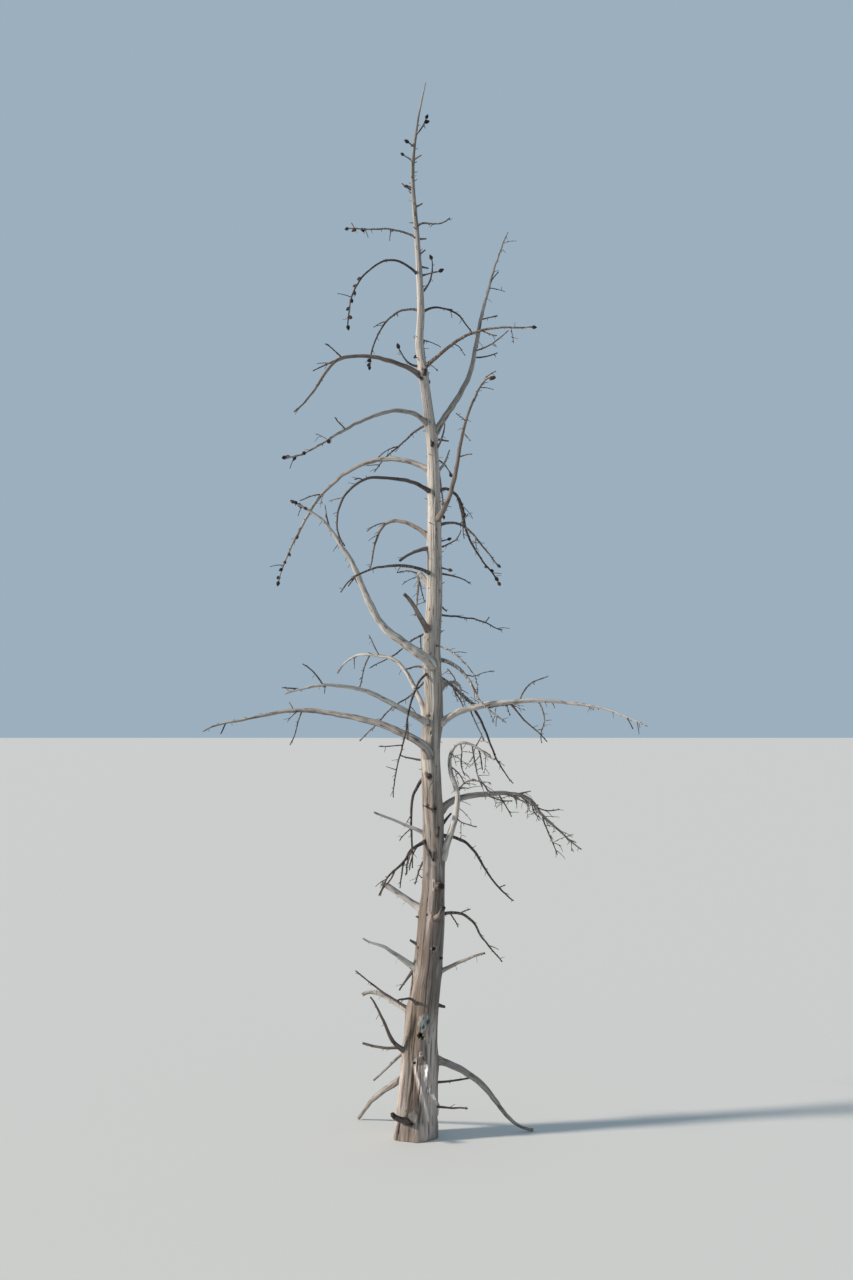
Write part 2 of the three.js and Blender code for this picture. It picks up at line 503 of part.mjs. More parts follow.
// Short seeded twigs along a stem, and none where one would touch something
function addTwigs(solids, points, from, bearing, size, random, owner) {
  const long = points[0].distanceTo(points[1]) * (points.length - 1);
  const count = Math.round(((1 - from) * long) / twig.spacing);
  for (let i = 0; i < count; i += 1) {
    const share = from + (1 - from) * ((i + 0.3 + random() * 0.5) / count);
    const side = random() < 0.5 ? -1 : 1;
    const turn = side * (twigTurn.least + random() * twigTurn.spread);
    const reach = twig.length * size * (twigReach.least + random() * twigReach.spread);
    const lift = random() * twigLift.spread + twigLift.least;
    const start = points[Math.min(Math.round(share * (points.length - 1)), points.length - 1)];
    const path = growPath(start, bearing + turn, reach, [lift, lift - twig.droop], twig.wander, random() * 6);
    const rings = ringsOf(path, 0, 1, twigRings);
    if (!isClear(rings, twig.thickness, owner)) continue;
    const radiusAt = (place) => (twig.thickness + (twig.tip - twig.thickness) * place) / 2;
    take(rings, radiusAt, owner);
    solids.push(bentCylinder(rings, radiusAt, twigSides));
  }
}

// One fork of a limb, named in its row, with its cones and, where it is long, its own twigs
function addFork(solids, limb, points, [place, turn, long, rise, thick, cones], random, owner) {
  const from = points[Math.round(place * (points.length - 1))];
  const bearing = limb.bearing + turn;
  const path = growPath(from, bearing, long, rise, limbWander, random() * 6);
  const radiusAt = (share) => (thick + (forkTip - thick) * share) / 2;
  const rings = ringsOf(path, 0, 1, twigRings);
  if (!isClear(rings.slice(1), thick / 2, owner)) return;
  take(rings, radiusAt, owner);
  solids.push(bentCylinder(rings, radiusAt, thick > thickFork ? stemSides : twigSides));
  addCones(solids, path, 1, cones, random, owner);
  if (long > forkWithTwigs) addTwigs(solids, path, 0.3, bearing, forkTwigSize, random, owner);
}

// Joins solids, cuts them clear of the trunk and keeps the one large body
function joined(solids, cutter) {
  let whole = solids.reduce((sum, solid) => sum.add(solid));
  if (cutter) whole = whole.subtract(cutter);
  const bodies = whole.decompose();
  return bodies.sort((p, q) => q.volume() - p.volume())[0];
}

function meshOf(name, solid, finish) {
  const { vertProperties, triVerts, numProp } = solid.getMesh();
  const positions = new Float32Array((vertProperties.length / numProp) * 3);
  for (let i = 0; i < positions.length / 3; i += 1) {
    positions.set(vertProperties.subarray(i * numProp, i * numProp + 3), i * 3);
  }
  const geometry = new THREE.BufferGeometry();
  geometry.setAttribute("position", new THREE.BufferAttribute(positions, 3));
  geometry.setIndex(new THREE.BufferAttribute(new Uint32Array(triVerts), 1));
  geometry.computeVertexNormals();
  const mesh = new THREE.Mesh(geometry, new THREE.MeshStandardMaterial(finish));
  mesh.name = name;
  return mesh;
}

// True where a limb leaves the trunk close to a place on it
function limbNear(at, bearing) {
  return limbs.some((limb) => Math.abs(limb.at - at) < 110 && Math.abs(rootBearing(limb) - bearing) < 45);
}

// Stubs as limb rows, with a few seeded ones on the far side
function stubRows() {
  const random = randomFrom(31);
  const rows = stubs.map(([at, bearing, long, rise, thick, tip, cones]) =>
    ({ at, bearing, long, rise, thick, tip, cones }));
  for (let i = 0; i < backStubs.count; i += 1) {
    const at = backStubs.lowest + (i + random() * 0.6) * backStubs.apart;
    const bearing = backStubs.middle + random() * backStubs.spread;
    const thick = backStubs.thick + trunkRadius(at) * 0.16 * random();
    if (limbNear(at, bearing)) continue;
    const long = backStubs.long + random() * 40;
    rows.push({ at, bearing, long, rise: [random() * 50 - 10], thick, tip: thick * 0.7, cones: 0 });
  }
  return rows;
}

function stubSides(thick) {
  if (thick > thickStub) return boughSides;
  return thick > middlingStub ? stemSides : twigSides;
}

// The trunk with its stubs, short broken limbs and the cones of its leader
function buildTrunk() {
  const random = randomFrom(7);
  const solids = [trunkSolid(0)];
  stubRows().forEach((row, i) => {
    const points = limbPoints(row, i);
    const outer = ringsOf(points, 0, 1, stemRings);
    const rings = [rootRing(row, points), ...outer.slice(row.long < shortStub ? -1 : 0)];
    const radiusAt = limbRadius(row);
    take(rings, radiusAt, "trunk");
    solids.push(bentCylinder(rings, radiusAt, stubSides(row.thick)));
    addCones(solids, points, 1, row.cones, random, "trunk");
  });
  return meshOf("trunk", joined(solids, null), finishes.trunk);
}

// A limb's bough, from its root in the trunk to the place where its mass of twigs begins
function buildBough(limb, points, cutter) {
  const end = limb.split < 1 ? limb.split - gap / 2 / limb.long : 1;
  const rings = [rootRing(limb, points), ...ringsOf(points, 0, end, boughRings)];
  const bough = joined([bentCylinder(rings, limbRadius(limb), boughSides)], cutter);
  return meshOf("bough_" + limb.name, bough, finishes.bough);
}

// A limb's mass of twigs: the rest of its stem, its forks, its twigs and its cones
function buildTwigs(limb, points, index, cutter) {
  const random = randomFrom(100 + index);
  const owner = "twigs_" + limb.name;
  const onBough = limb.split > 0;
  const outer = ringsOf(points, onBough ? limb.split + gap / 2 / limb.long : 0, 1, stemRings);
  const rings = onBough ? outer : [rootRing(limb, points), ...outer];
  const solids = [bentCylinder(rings, limbRadius(limb), stemSides)];
  limb.forks.forEach((fork) => addFork(solids, limb, points, fork, random, owner));
  limb.cones.forEach((place) => addCones(solids, points, place, 1, random, owner));
  const start = Math.max(limb.split + pastSplit, twigStart);
  addTwigs(solids, points, start, limb.bearing, 1, random, owner);
  return meshOf(owner, joined(solids, onBough ? null : cutter), finishes.twigs);
}

// Every limb's own space is noted first, so that twigs can keep clear of all of them
function takeLimb(limb, index) {
  const points = limbPoints(limb, index);
  const { split, name } = limb;
  if (split > 0) take(ringsOf(points, 0, split, boughRings), limbRadius(limb), "bough_" + name);
  if (split < 1) take(ringsOf(points, split, 1, stemRings), limbRadius(limb), "twigs_" + name);
}

const tree = new THREE.Group();
tree.name = "dead_pine";
tree.add(buildTrunk());
limbs.forEach(takeLimb);
const cutter = trunkSolid(gap);
limbs.forEach((limb, index) => {
  const points = limbPoints(limb, index);
  if (limb.split > 0) tree.add(buildBough(limb, points, cutter));
  if (limb.split < 1) tree.add(buildTwigs(limb, points, index, cutter));
});

export default tree;
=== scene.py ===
import math
import bpy
import numpy as np
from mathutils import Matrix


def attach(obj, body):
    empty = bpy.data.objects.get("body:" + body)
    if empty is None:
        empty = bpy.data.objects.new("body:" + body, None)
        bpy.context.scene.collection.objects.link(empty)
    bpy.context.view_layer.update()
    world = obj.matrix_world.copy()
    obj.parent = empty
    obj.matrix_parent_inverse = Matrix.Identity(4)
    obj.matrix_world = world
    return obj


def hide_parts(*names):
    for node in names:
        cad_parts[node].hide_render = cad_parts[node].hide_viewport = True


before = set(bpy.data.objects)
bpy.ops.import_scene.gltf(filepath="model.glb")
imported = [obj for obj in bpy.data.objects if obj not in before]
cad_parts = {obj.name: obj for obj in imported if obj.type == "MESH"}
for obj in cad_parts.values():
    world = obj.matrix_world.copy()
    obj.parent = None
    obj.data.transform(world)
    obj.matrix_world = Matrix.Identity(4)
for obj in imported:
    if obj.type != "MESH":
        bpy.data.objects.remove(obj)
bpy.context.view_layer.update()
print("packed frame loaded:", len(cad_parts), "nodes")

mm = 0.001  # the tree's rule works in millimetres, and every mesh is made in metres


# Camera, floor and light

photoView = {
    "place": (0.0517, -7.263, 2.0096),  # metres
    "tiltUp": 1.79,  # degrees above level
    "lens": 45.0,
    "longSide": 36.0,  # millimetres of sensor on the picture's long side
}

studio = {
    "floorSize": 120.0,  # metres
    "floorRough": 0.9,
    "floorColour": (206, 203, 199),  # colours are given as they are seen, from 0 to 255
    "backColour": (180, 203, 221),
    "backStrength": 0.72,
    "keyFrom": (-6.2, -1.5, 3.0),  # the way that the soft key light comes from: low, from the left
    "keySoftness": 6.0,  # degrees across
    "keyPower": 4.7,
    "keyColour": (255, 246, 234),
}


def linearColour(seen):
    # A colour as it is seen, turned into the light values that shaders hold
    shares = np.asarray(seen, float) / 255
    light = np.where(shares <= 0.04045, shares / 12.92, ((shares + 0.055) / 1.055) ** 2.4)
    return (*(float(value) for value in light), 1.0)


def makeCamera():
    camera = bpy.data.objects.new("photoCamera", bpy.data.cameras.new("photoCamera"))
    camera.data.lens = photoView["lens"]
    camera.data.sensor_width = photoView["longSide"]
    camera.location = photoView["place"]
    camera.rotation_euler = (math.radians(90 + photoView["tiltUp"]), 0, 0)
    bpy.context.scene.collection.objects.link(camera)
    bpy.context.scene.camera = camera


def makeFloor():
    half = studio["floorSize"] / 2
    corners = [(-half, -half, 0), (half, -half, 0), (half, half, 0), (-half, half, 0)]
    mesh = bpy.data.meshes.new("paleFloor")
    mesh.from_pydata(corners, [], [(0, 1, 2, 3)])
    material = bpy.data.materials.new("paleFloor")
    material.use_nodes = True
    shader = material.node_tree.nodes["Principled BSDF"]
    shader.inputs["Base Color"].default_value = linearColour(studio["floorColour"])
    shader.inputs["Roughness"].default_value = studio["floorRough"]
    mesh.materials.append(material)
    floor = bpy.data.objects.new("paleFloor", mesh)
    bpy.context.scene.collection.objects.link(floor)


def makeLight():
    world = bpy.data.worlds.new("softBack")
    world.use_nodes = True
    back = world.node_tree.nodes["Background"]
    back.inputs["Color"].default_value = linearColour(studio["backColour"])
    back.inputs["Strength"].default_value = studio["backStrength"]
    bpy.context.scene.world = world
    lamp = bpy.data.lights.new("keyLight", "SUN")
    lamp.angle = math.radians(studio["keySoftness"])
    lamp.energy = studio["keyPower"]
    lamp.color = linearColour(studio["keyColour"])[:3]
    key = bpy.data.objects.new("keyLight", lamp)
    key.location = studio["keyFrom"]
    away, side, up = studio["keyFrom"]
    key.rotation_euler = (math.atan2(math.hypot(away, side), up), 0, math.atan2(away, -side))
    bpy.context.scene.collection.objects.link(key)
    bpy.context.scene.view_settings.view_transform = "Standard"


makeCamera()
makeFloor()
makeLight()
print("camera, floor and light are set")


# The tree's rule: sizes and rows, in millimetres and degrees

trunkForm = {
    "height": 4800,
    "buttRadius": 67.5,
    "tipRadius": 3,
    "flareRadius": 22,
    "flareHeight": 430,
    "flareEase": 1.5,
    "footSwell": 6,
    "footSwellTop": 1040,
    "footSwellFade": (90, 60),  # below and above its top
    "rootLobes": 5,
    "lobeDepth": 0.06,  # this and the oval as shares of the radius
    "lobeHeight": 260,
    "lobeTurn": 0.6,  # radians
    "oval": 0.035,
    "ovalTwist": 420,  # millimetres up the trunk to a radian
}

limbForm = {
    "pathStep": 10,
    "leastSteps": 3,
    "collar": 0.3,  # extra share of the thickness where a limb leaves the trunk
    "collarReach": 22,
    "wander": 7,  # degrees to either side
    "wanderTurn": 5.5,  # radians of sway along a limb
    "wanderStart": 6,  # radians, the range of where a fork's or twig's sway starts
    "swingReach": 160,  # over which a limb swings from its root's bearing to its own
    "stemRings": (190, 0.4),  # spacing and bend that call for a new ring
    "boughRings": (150, 0.34),
    "twigRings": (160, 0.65),
    "lastRing": 1.5,  # steps from the end where the last bend can call for one
    "clearance": 3,
    "aboveGround": 12,
    "clearOfTrunk": 1.12,  # in radii of the trunk
    "rootDepth": (0.7, 30),  # how deep a root runs into the trunk, as a share of its radius and at most
    "forkWithTwigs": 140,
    "forkTip": 5,
    "forkTwigs": (0.3, 0.6),  # where they start along a fork, and their size
    "ringedStub": 60,  # a shorter stub notes its space with one piece
    "firstTwig": (0.04, 0.14),  # past the split, and the least share of the limb
}

coneForm = {
    "length": 31,
    "radius": 11.5,
    "rise": (-40, 60),  # degrees, a least value and the range above it
    "alongStem": 0.45,  # how far it leans along its stem, against standing straight out
    "outAtTip": 0.1,
    "apart": 2,  # steps of the stem's path
}

# How twigs stand: drawn by seed as a least value and the range above it
twigStand = {
    "place": (0.3, 0.5),  # within its own part of the stem
    "turn": (35, 50),  # degrees from the stem's bearing, to either side
    "length": (0.45, 0.75),
    "lift": (-55, 90),
    "droop": 18,  # degrees less at the tip than at the root
    "wander": 6,
}

seededTwigs = {"spacing": 220, "length": 82, "thickness": 5, "tip": 3}

farStubs = {  # the seeded stubs on the far side, with least values and ranges too
    "count": 8,
    "lowest": 700,
    "apart": 370,
    "bearing": (60, 60),
    "thickness": (9, 0.16),  # the second is a share of the trunk's radius
    "length": (26, 40),
    "rise": (-10, 50),
    "clearOfLimbs": (110, 45),  # millimetres up or down the trunk, and degrees round it
    "stagger": 0.6,
    "tip": 0.7,  # share of the thickness
    "seed": 31,
}

# Seeds of the other random draws, each with the row's number added where there is one for each row
seeds = {
    "stubs": 7, "limbs": 100, "fine": 900, "spurs": 3000, "bushy": 5000, "thinTones": 83,
    "thinSkin": 300, "stubSkin": 2000, "brokenEnds": 7000,
    "kinks": (1, 2, 3), "lumps": 11, "ridges": 12, "coarse": 21, "fineRelief": 22,  # of the noise
}

# How far the trunk's middle stands from the foot: height, to the right, away
leanRows = [
    (0, 0, 0), (300, 17, 3), (530, 30, 8), (760, 57, 12), (1080, 81, 10), (1300, 84, 4),
    (1600, 74, -4), (1740, 70, -6), (1950, 85, -4), (2190, 75, 0), (2420, 87, 6), (2690, 87, 10),
    (3040, 83, 8), (3190, 71, 4), (3430, 40, -2), (3585, 19, -4), (3740, 26, -6), (4060, 9, -4),
    (4370, -12, 0), (4600, 8, 5), (4800, 47, 8),
]

# Each limb: its name and tone, the height where it leaves the trunk, its bearing and length, its thickness
# at the root and the tip, its rise along it, the share of it that is bough, its forks (place, turn, length,
# rise, thickness, cones), the places of its cones, and the bearing of its root where that is another one
limbNames = ("name", "tone", "at", "bearing", "long", "thick", "tip", "rise", "split", "forks", "cones",
             "root")
plainLimb = {"split": 0, "forks": [], "cones": []}
limbRows = [{**plainLimb, **dict(zip(limbNames, row))} for row in (
    ("left_1", "dark", 4085, 145, 400, 10, 5, [30, 20, 4, 14, 12], 0, [[0.9, -10, 35, [60], 5, 0]],
     [0.74, 0.77, 0.87, 1]),
    ("left_2", "dark", 3911, 210, 565, 11, 6, [36, 16, -14, -37, -50, -66, -82, -88], 0, [],
     [0.6, 0.66, 0.72, 0.79, 0.86, 0.93, 1]),
    ("left_3", "dark", 3747, 140, 435, 11, 6, [16, -2, -26, -46, -68, -86], 0,
     [[0.45, 25, 70, [-10, -30], 6, 0]], [0.94, 0.97, 1]),
    ("left_5", "brown", 3447, 203, 730, 24, 7, [33, 16, 12, -1, -16, -55, -57, -50, -38], 0.42,
     [[0.53, -8, 135, [-22, -30], 9, 0], [0.52, 12, 105, [45, 20], 8, 0]]),
    ("left_6", "grey", 3227, 217, 825, 22, 6, [42, 6, -16, -23, -29, -29, -31, -25, -8], 0.46,
     [[0.56, 20, 90, [20, 35], 7, 0]], [0.7, 0.88, 0.94, 0.97, 1]),
    ("left_7", "dark", 3222, 132, 410, 11, 5, [-5, -30, -27, -40], 0, [[0.5, 30, 120, [-10, -40], 6, 0]]),
    ("left_8", "grey", 3016, 163, 1020, 25, 6, [30, 17, 0, -17, -33, -42, -55, -58, -60, -66, -72], 0.42,
     [[0.72, -25, 60, [-58], 7, 1], [0.55, 30, 110, [-5, -30], 7, 0]], [0.86, 0.9, 0.94, 0.98, 1]),
    ("left_9", "dark", 2915, 216, 745, 19, 6, [26, 8, 0, -5, -34, -62, -90, -135], 0.46,
     [[0.52, 35, 100, [10, -20], 6, 0]]),
    ("left_10", "brown", 2703, 134, 585, 22, 7, [42, 27, 13, -3, -50, -77, -70], 0.5,
     [[0.55, 30, 110, [0, -40], 6, 0]]),
    ("left_12", "brown", 2540, 221, 540, 16, 6, [22, 5, -6, -16, -28, -52], 0, [[0.8, 15, 60, [-45], 6, 0]]),
    ("left_14", "dark", 2268, 146, 350, 9, 5, [-18, -22, -38, -28, -20, -30], 0,
     [[0.08, -60, 75, [-70, -95], 6, 0]]),
    ("left_15", "pale", 2126, 190, 980, 46, 8, [37, 34, 35, 57, 68, 66, 56, 55, 36, 22], 0.55,
     [[0.8, -20, 110, [70, 85], 8, 0]], [0.94, 0.955, 0.97, 0.985, 1], 255),
    ("left_16", "pale", 1896, 160, 615, 25, 7, [80, 62, 63, 46, 6, 2, -32, -60], 0.55,
     [[0.68, -5, 170, [-60, -75, -70], 8, 0], [0.6, -8, 110, [55, 60], 6, 0]]),
    ("left_17", "pale", 1866, 205, 720, 29, 9, [22, 24, 25, 25, 23, 9, 6, -5, -14, -20], 0.55,
     [[0.76, 8, 135, [60, 45, 25], 8, 0], [0.9, -5, 80, [2, 5], 8, 0]], [], 224),
    ("left_18", "brown", 2055, 148, 465, 9, 5, [-48, -40, -24, -36, -42, -36, -48]),
    ("left_19", "grey", 1721, 180, 1095, 38, 7, [47, 28, 21, 12, 10, 4, -10, -12, -10, -28], 0.46,
     [[0.58, 5, 165, [-65, -78, -62], 7, 0], [0.62, 0, 40, [60], 7, 0], [0.9, -5, 55, [-65], 7, 0]], [],
     258),
    ("left_20", "dark", 2085, 235, 620, 11, 5, [-20, -52, -67, -82, -64, -63, -68, -92], 0,
     [[0.4, 40, 100, [-80, -75], 6, 0], [0.62, -35, 110, [-6, 4], 6, 0]]),
    ("left_22", "dark", 1612, 140, 440, 15, 6, [-40, -60, -88, -93, -92, -92], 0,
     [[0.6, 60, 80, [-30, -60], 6, 0]]),
    ("left_24", "dark", 1327, 220, 360, 16, 6, [-22, -20, -55, -26, -30, -64, -54], 0,
     [[0.42, -25, 120, [-75, -85], 9, 0], [0.6, -20, 130, [-70, -45, -75], 9, 0],
     [0.16, 20, 150, [-20, -70, -60], 9, 0], [0.3, 30, 90, [-60, -85], 7, 0],
     [0.1, -30, 120, [-45, -75, -80], 9, 0]]),
    ("left_32", "grey", 254, 134, 400, 34, 16, [-29, -34, -35, -43, -50], 1),
    ("right_1", "dark", 4133, 320, 195, 9, 5, [24, -12, -18, -6, 8, 25]),
    ("right_4", "dark", 3741, 34, 300, 11, 6, [33, 8, -14, -44, -40], 0, [[0.4, 30, 80, [15, 0], 6, 0]]),
    ("right_5", "brown", 3487, 333, 560, 18, 6, [31, 34, 23, 11, 1, -5, -2], 0,
     [[0.58, -12, 95, [-30, -14], 7, 0]], [1]),
    ("right_6", "grey", 3190, 20, 1025, 30, 5, [58, 56, 62, 79, 79, 74, 73, 71, 65], 0.36,
     [[0.39, 15, 140, [2, 28], 8, 0], [0.42, -30, 180, [12, 30, 45], 8, 0], [0.56, 5, 90, [20, 15], 7, 0],
     [0.75, -60, 60, [40], 6, 0]]),
    ("right_9", "brown", 2787, 305, 770, 24, 7, [32, 50, 71, 79, 69, 55, 40, -17], 0.4,
     [[0.42, 20, 75, [8, 0], 7, 0], [0.56, 15, 60, [-40, -50], 7, 0], [0.88, 25, 80, [60, 10], 6, 0]],
     [0.965, 0.985, 1]),
    ("right_10", "dark", 2915, 52, 680, 16, 6, [30, -6, -44, -80, -47, -44, -37, -50], 0,
     [[0.24, 20, 240, [-15, -50, -75, -75], 9, 0], [0.26, 20, 130, [20, -35, -70], 7, 1]],
     [0.84, 0.88, 0.95, 1]),
    ("right_11", "brown", 2762, 345, 350, 12, 6, [20, -12, -44, -51, -51, -48], 0,
     [[0.25, 20, 60, [50], 6, 0]], [1]),
    ("right_15", "dark", 2352, 50, 475, 10, 5, [2, -2, -3, -10, -18, -2], 0, [[0.7, 15, 50, [35], 6, 0]]),
    ("right_16", "grey", 2210, 306, 415, 8, 5, [-6, -16, -24, -32, -50, -100]),
    ("right_17", "pale", 2146, 345, 430, 18, 7, [-5, -28, -45, -63, -62, -45, -33, -38], 0,
     [[0.32, 30, 45, [-10], 7, 0]]),
    ("right_18", "grey", 2064, 30, 420, 16, 8, [-24, -36, -44, -20, -5, 8, 13], 0,
     [[0.15, 35, 70, [-30, -45], 6, 0]]),
    ("right_19", "pale", 1865, 351, 960, 32, 5, [36, 16, 6, 2, -5, -9, -22, -26], 0.13,
     [[0.17, 25, 395, [-56, -66, -69, -60, -45], 13, 0], [0.15, -30, 165, [-57, -60, -68], 8, 0],
     [0.33, -10, 250, [-45, -52, -35, -50], 9, 0], [0.39, 20, 185, [75, 55, 20, 20], 8, 0],
     [0.47, 12, 200, [-55, -75, -115, -72], 8, 0], [0.9, 30, 60, [-60], 6, 0]]),
    ("right_20", "pale", 1273, 335, 730, 32, 8, [72, 69, 75, 86, 114, 100, 60, -12, -33, -27], 0.2,
     [[0.38, 25, 210, [75, 40, 0, -50, -75], 9, 0], [0.56, 20, 100, [-30, -70], 7, 0],
     [0.85, 15, 60, [60], 7, 0], [0.88, -25, 95, [-70, -80], 7, 0], [0.23, -10, 120, [-28, -18, 0], 7, 0],
     [0.74, 18, 150, [-80, -95, -60], 7, 0], [0.82, -8, 190, [-75, -80, -60], 7, 0]]),
    ("right_21", "grey", 1468, 26, 845, 32, 6, [44, 10, 3, 1, -12, -57, -36, -43, -28], 0.26,
     [[0.48, -10, 70, [12], 12, 0], [0.5, 35, 130, [-30, -20], 9, 0],
     [0.68, -15, 200, [-80, -60, -75], 8, 0], [0.43, -40, 150, [-35, -20, -10], 8, 0],
     [0.29, 20, 190, [-22, -15, 5], 8, 0], [0.36, -12, 130, [-50, -65], 7, 0],
     [0.56, 25, 120, [-45, -65, -20], 7, 0], [0.62, -30, 110, [-30, 20], 6, 0]]),
    ("right_22", "dark", 1347, 30, 515, 16, 6, [-2, -20, -50, -60, -49, -42, -31], 0,
     [[0.78, 20, 45, [10], 6, 0]]),
    ("right_24", "brown", 990, 35, 445, 15, 6, [14, -10, -38, -62, -44, -44, -40], 0,
     [[0.22, 20, 75, [20, 0], 7, 0], [0.08, -40, 75, [-55, -65], 7, 0]]),
    ("right_26", "grey", 340, 9, 570, 36, 13, [-14, -25, -35, -44, -56, -52, -34, -6], 1),
    ("back_1", "dark", 3600, 83, 470, 14, 6, [25, 10, -12, -35, -55], 0, [[0.5, 25, 110, [0, -25], 7, 1]],
     [0.92, 1]),
    ("back_2", "dark", 3060, 84, 760, 24, 6, [38, 22, 4, -16, -38, -58, -70], 0.42,
     [[0.52, -25, 160, [-10, -40], 8, 1], [0.6, 28, 130, [5, -25], 7, 0]], [0.92, 0.96, 1]),
    ("back_3", "grey", 2440, 98, 820, 30, 7, [30, 26, 14, 0, -18, -40, -52], 0.42,
     [[0.5, 28, 190, [20, -10], 9, 0], [0.66, -25, 150, [-30, -60], 8, 0]]),
    ("back_4", "grey", 1930, 82, 900, 32, 7, [20, 22, 12, 2, -6, -14, -30], 0.42,
     [[0.48, -25, 200, [-35, -60], 9, 0], [0.62, 22, 170, [40, 10], 8, 0]]),
    ("back_5", "brown", 1180, 100, 560, 20, 7, [24, 12, -12, -38, -50], 0,
     [[0.5, -22, 140, [-50, -70], 8, 0]]),
)]

# Each stub: height, bearing, length, rise along it, thickness at the root and the tip, tone, cones
stubNames = ("at", "bearing", "long", "rise", "thick", "tip", "tone", "cones")
plainStub = {"tone": "dark", "cones": 0}
stubRows = [{**plainStub, **dict(zip(stubNames, row))} for row in (
    (4564, 20, 88, [45, 75], 7, 5, "dark", 2), (4504, 200, 26, [30], 6, 5, "dark", 1),
    (4439, 170, 44, [35], 7, 5, "dark", 1), (4441, -20, 36, [25], 7, 5), (4299, 165, 56, [38], 7, 5),
    (4312, 190, 14, [10], 7, 6, "dark", 1), (4221, -15, 30, [25], 8, 6), (4073, 25, 34, [10], 8, 6),
    (4003, -30, 28, [25], 8, 6), (3943, 10, 30, [-10], 8, 6), (3903, -8, 78, [12], 8, 5, "dark", 1),
    (3833, 15, 160, [48, 76, 103], 9, 5, "dark", 1), (3486, 188, 125, [2, 49, 72], 10, 6, "dark", 1),
    (3447, -80, 30, [30], 18, 12), (3425, -115, 26, [10], 14, 10), (3154, 20, 58, [-4], 10, 7),
    (3113, -30, 115, [53, 85], 10, 6), (3012, 30, 115, [47, 71], 12, 6, "grey"),
    (3122, -90, 24, [20], 14, 11), (2660, 50, 200, [12, 16, 30, 70], 9, 5),
    (2688, 15, 34, [15], 7, 5, "dark", 1), (2653, 200, 148, [-7, -26, -34], 17, 11),
    (2541, 30, 165, [-6, -22], 9, 5), (2565, -15, 34, [-15], 7, 5, "dark", 2), (2404, 60, 85, [-20], 10, 7),
    (2284, 232, 225, [43, 40, 48, 32], 27, 15, "brown"), (2104, 142, 160, [34, -6, -12, 30], 9, 6),
    (2050, 15, 30, [-25], 16, 13, "pale"), (1692, 152, 115, [2, 9, 16], 9, 6),
    (1621, -100, 26, [10], 26, 20, "brown"), (1474, -84, 36, [10], 22, 15), (1480, -112, 56, [14], 9, 3),
    (1409, 8, 52, [50], 13, 9), (1354, -71, 46, [58], 15, 11),
    (1367, 190, 240, [23, 23, 25, 19, 26], 17, 9, "pale"), (1277, -92, 36, [-55], 14, 10),
    (1129, -66, 32, [5], 32, 26, "brown"), (1022, 176, 203, [35, 34, 32], 29, 22, "pale"),
    (1035, 160, 185, [28, 30, 32], 8, 5), (985, -168, 12, [10], 9, 7),
    (988, -70, 115, [14, 46], 27, 19, "brown"), (865, 190, 30, [30], 12, 9), (805, -38, 12, [0], 12, 9),
    (760, 196, 275, [36, 37, 36, 28, 18, 30], 27, 7, "pale"),
    (743, 345, 220, [28, 27, 23, 15], 19, 9, "grey"), (748, 196, 110, [-50, -52, -58], 15, 7),
    (608, 240, 160, [40, 8, 0], 13, 8), (585, 10, 30, [-15], 14, 10),
    (563, 165, 226, [27, 25, 28, 12, -30], 27, 17, "pale"), (572, 174, 285, [33, 31, 39, 36], 12, 6),
    (392, 205, 308, [32, 44, 62, 66, 64, 62, 50], 22, 7), (396, 168, 190, [-6, -2, 6, 14], 14, 11),
    (372, 165, 192, [-44, -45], 14, 9, "grey"), (92, 238, 110, [20, 30], 27, 22),
    (238, 15, 155, [3, 4], 11, 8), (140, -12, 142, [0, -1], 10, 7),
)]


# The tree's rule: paths, the space that is taken, and what grows where

axisX = np.array([1.0, 0.0, 0.0])
axisZ = np.array([0.0, 0.0, 1.0])


def randomFrom(seed):
    # Even random numbers from 0 to 1 that repeat for the same seed
    state = seed

    def draw():
        nonlocal state
        state = (state * 1664525 + 1013904223) % 4294967296
        return state / 4294967296

    return draw


def atShare(leastAndRange, share):
    least, span = leastAndRange
    return least + span * share


def drawn(random, leastAndRange):
    return atShare(leastAndRange, random())


def nearestWhole(value):
    return math.floor(value + 0.5)


def readAlong(values, share):
    return np.interp(np.asarray(share, float) * (len(values) - 1), np.arange(len(values)), values)


def easeBetween(value, low, high):
    share = np.clip((np.asarray(value, float) - low) / (high - low), 0, 1)
    return share * share * (3 - 2 * share)


def unit(vectors):
    return vectors / np.linalg.norm(vectors, axis=-1, keepdims=True)


leanTable = np.array(leanRows, float)
before = leanTable[[max(k - 1, 0) for k in range(len(leanTable))]]
after = leanTable[[min(k + 1, len(leanTable) - 1) for k in range(len(leanTable))]]
leanSlopes = (after[:, 1:] - before[:, 1:]) / (after[:, :1] - before[:, :1])


def trunkMiddle(height):
    # The middle of the trunk at a height, on a smooth line through the lean rows
    height = np.asarray(height, float)
    level = np.clip(height, 0, trunkForm["height"])
    row = np.clip(np.searchsorted(leanTable[:, 0], level) - 1, 0, len(leanTable) - 2)
    width = leanTable[row + 1, 0] - leanTable[row, 0]
    part = (level - leanTable[row, 0]) / width
    ease = (3 - 2 * part) * part * part
    startPull = ((part - 1) ** 2 * part * width)[..., None] * leanSlopes[row]
    endPull = ((part - 1) * part * part * width)[..., None] * leanSlopes[row + 1]
    aside = leanTable[row, 1:] * (1 - ease)[..., None] + leanTable[row + 1, 1:] * ease[..., None]
    return np.concatenate([aside + startPull + endPull, height[..., None]], axis=-1)


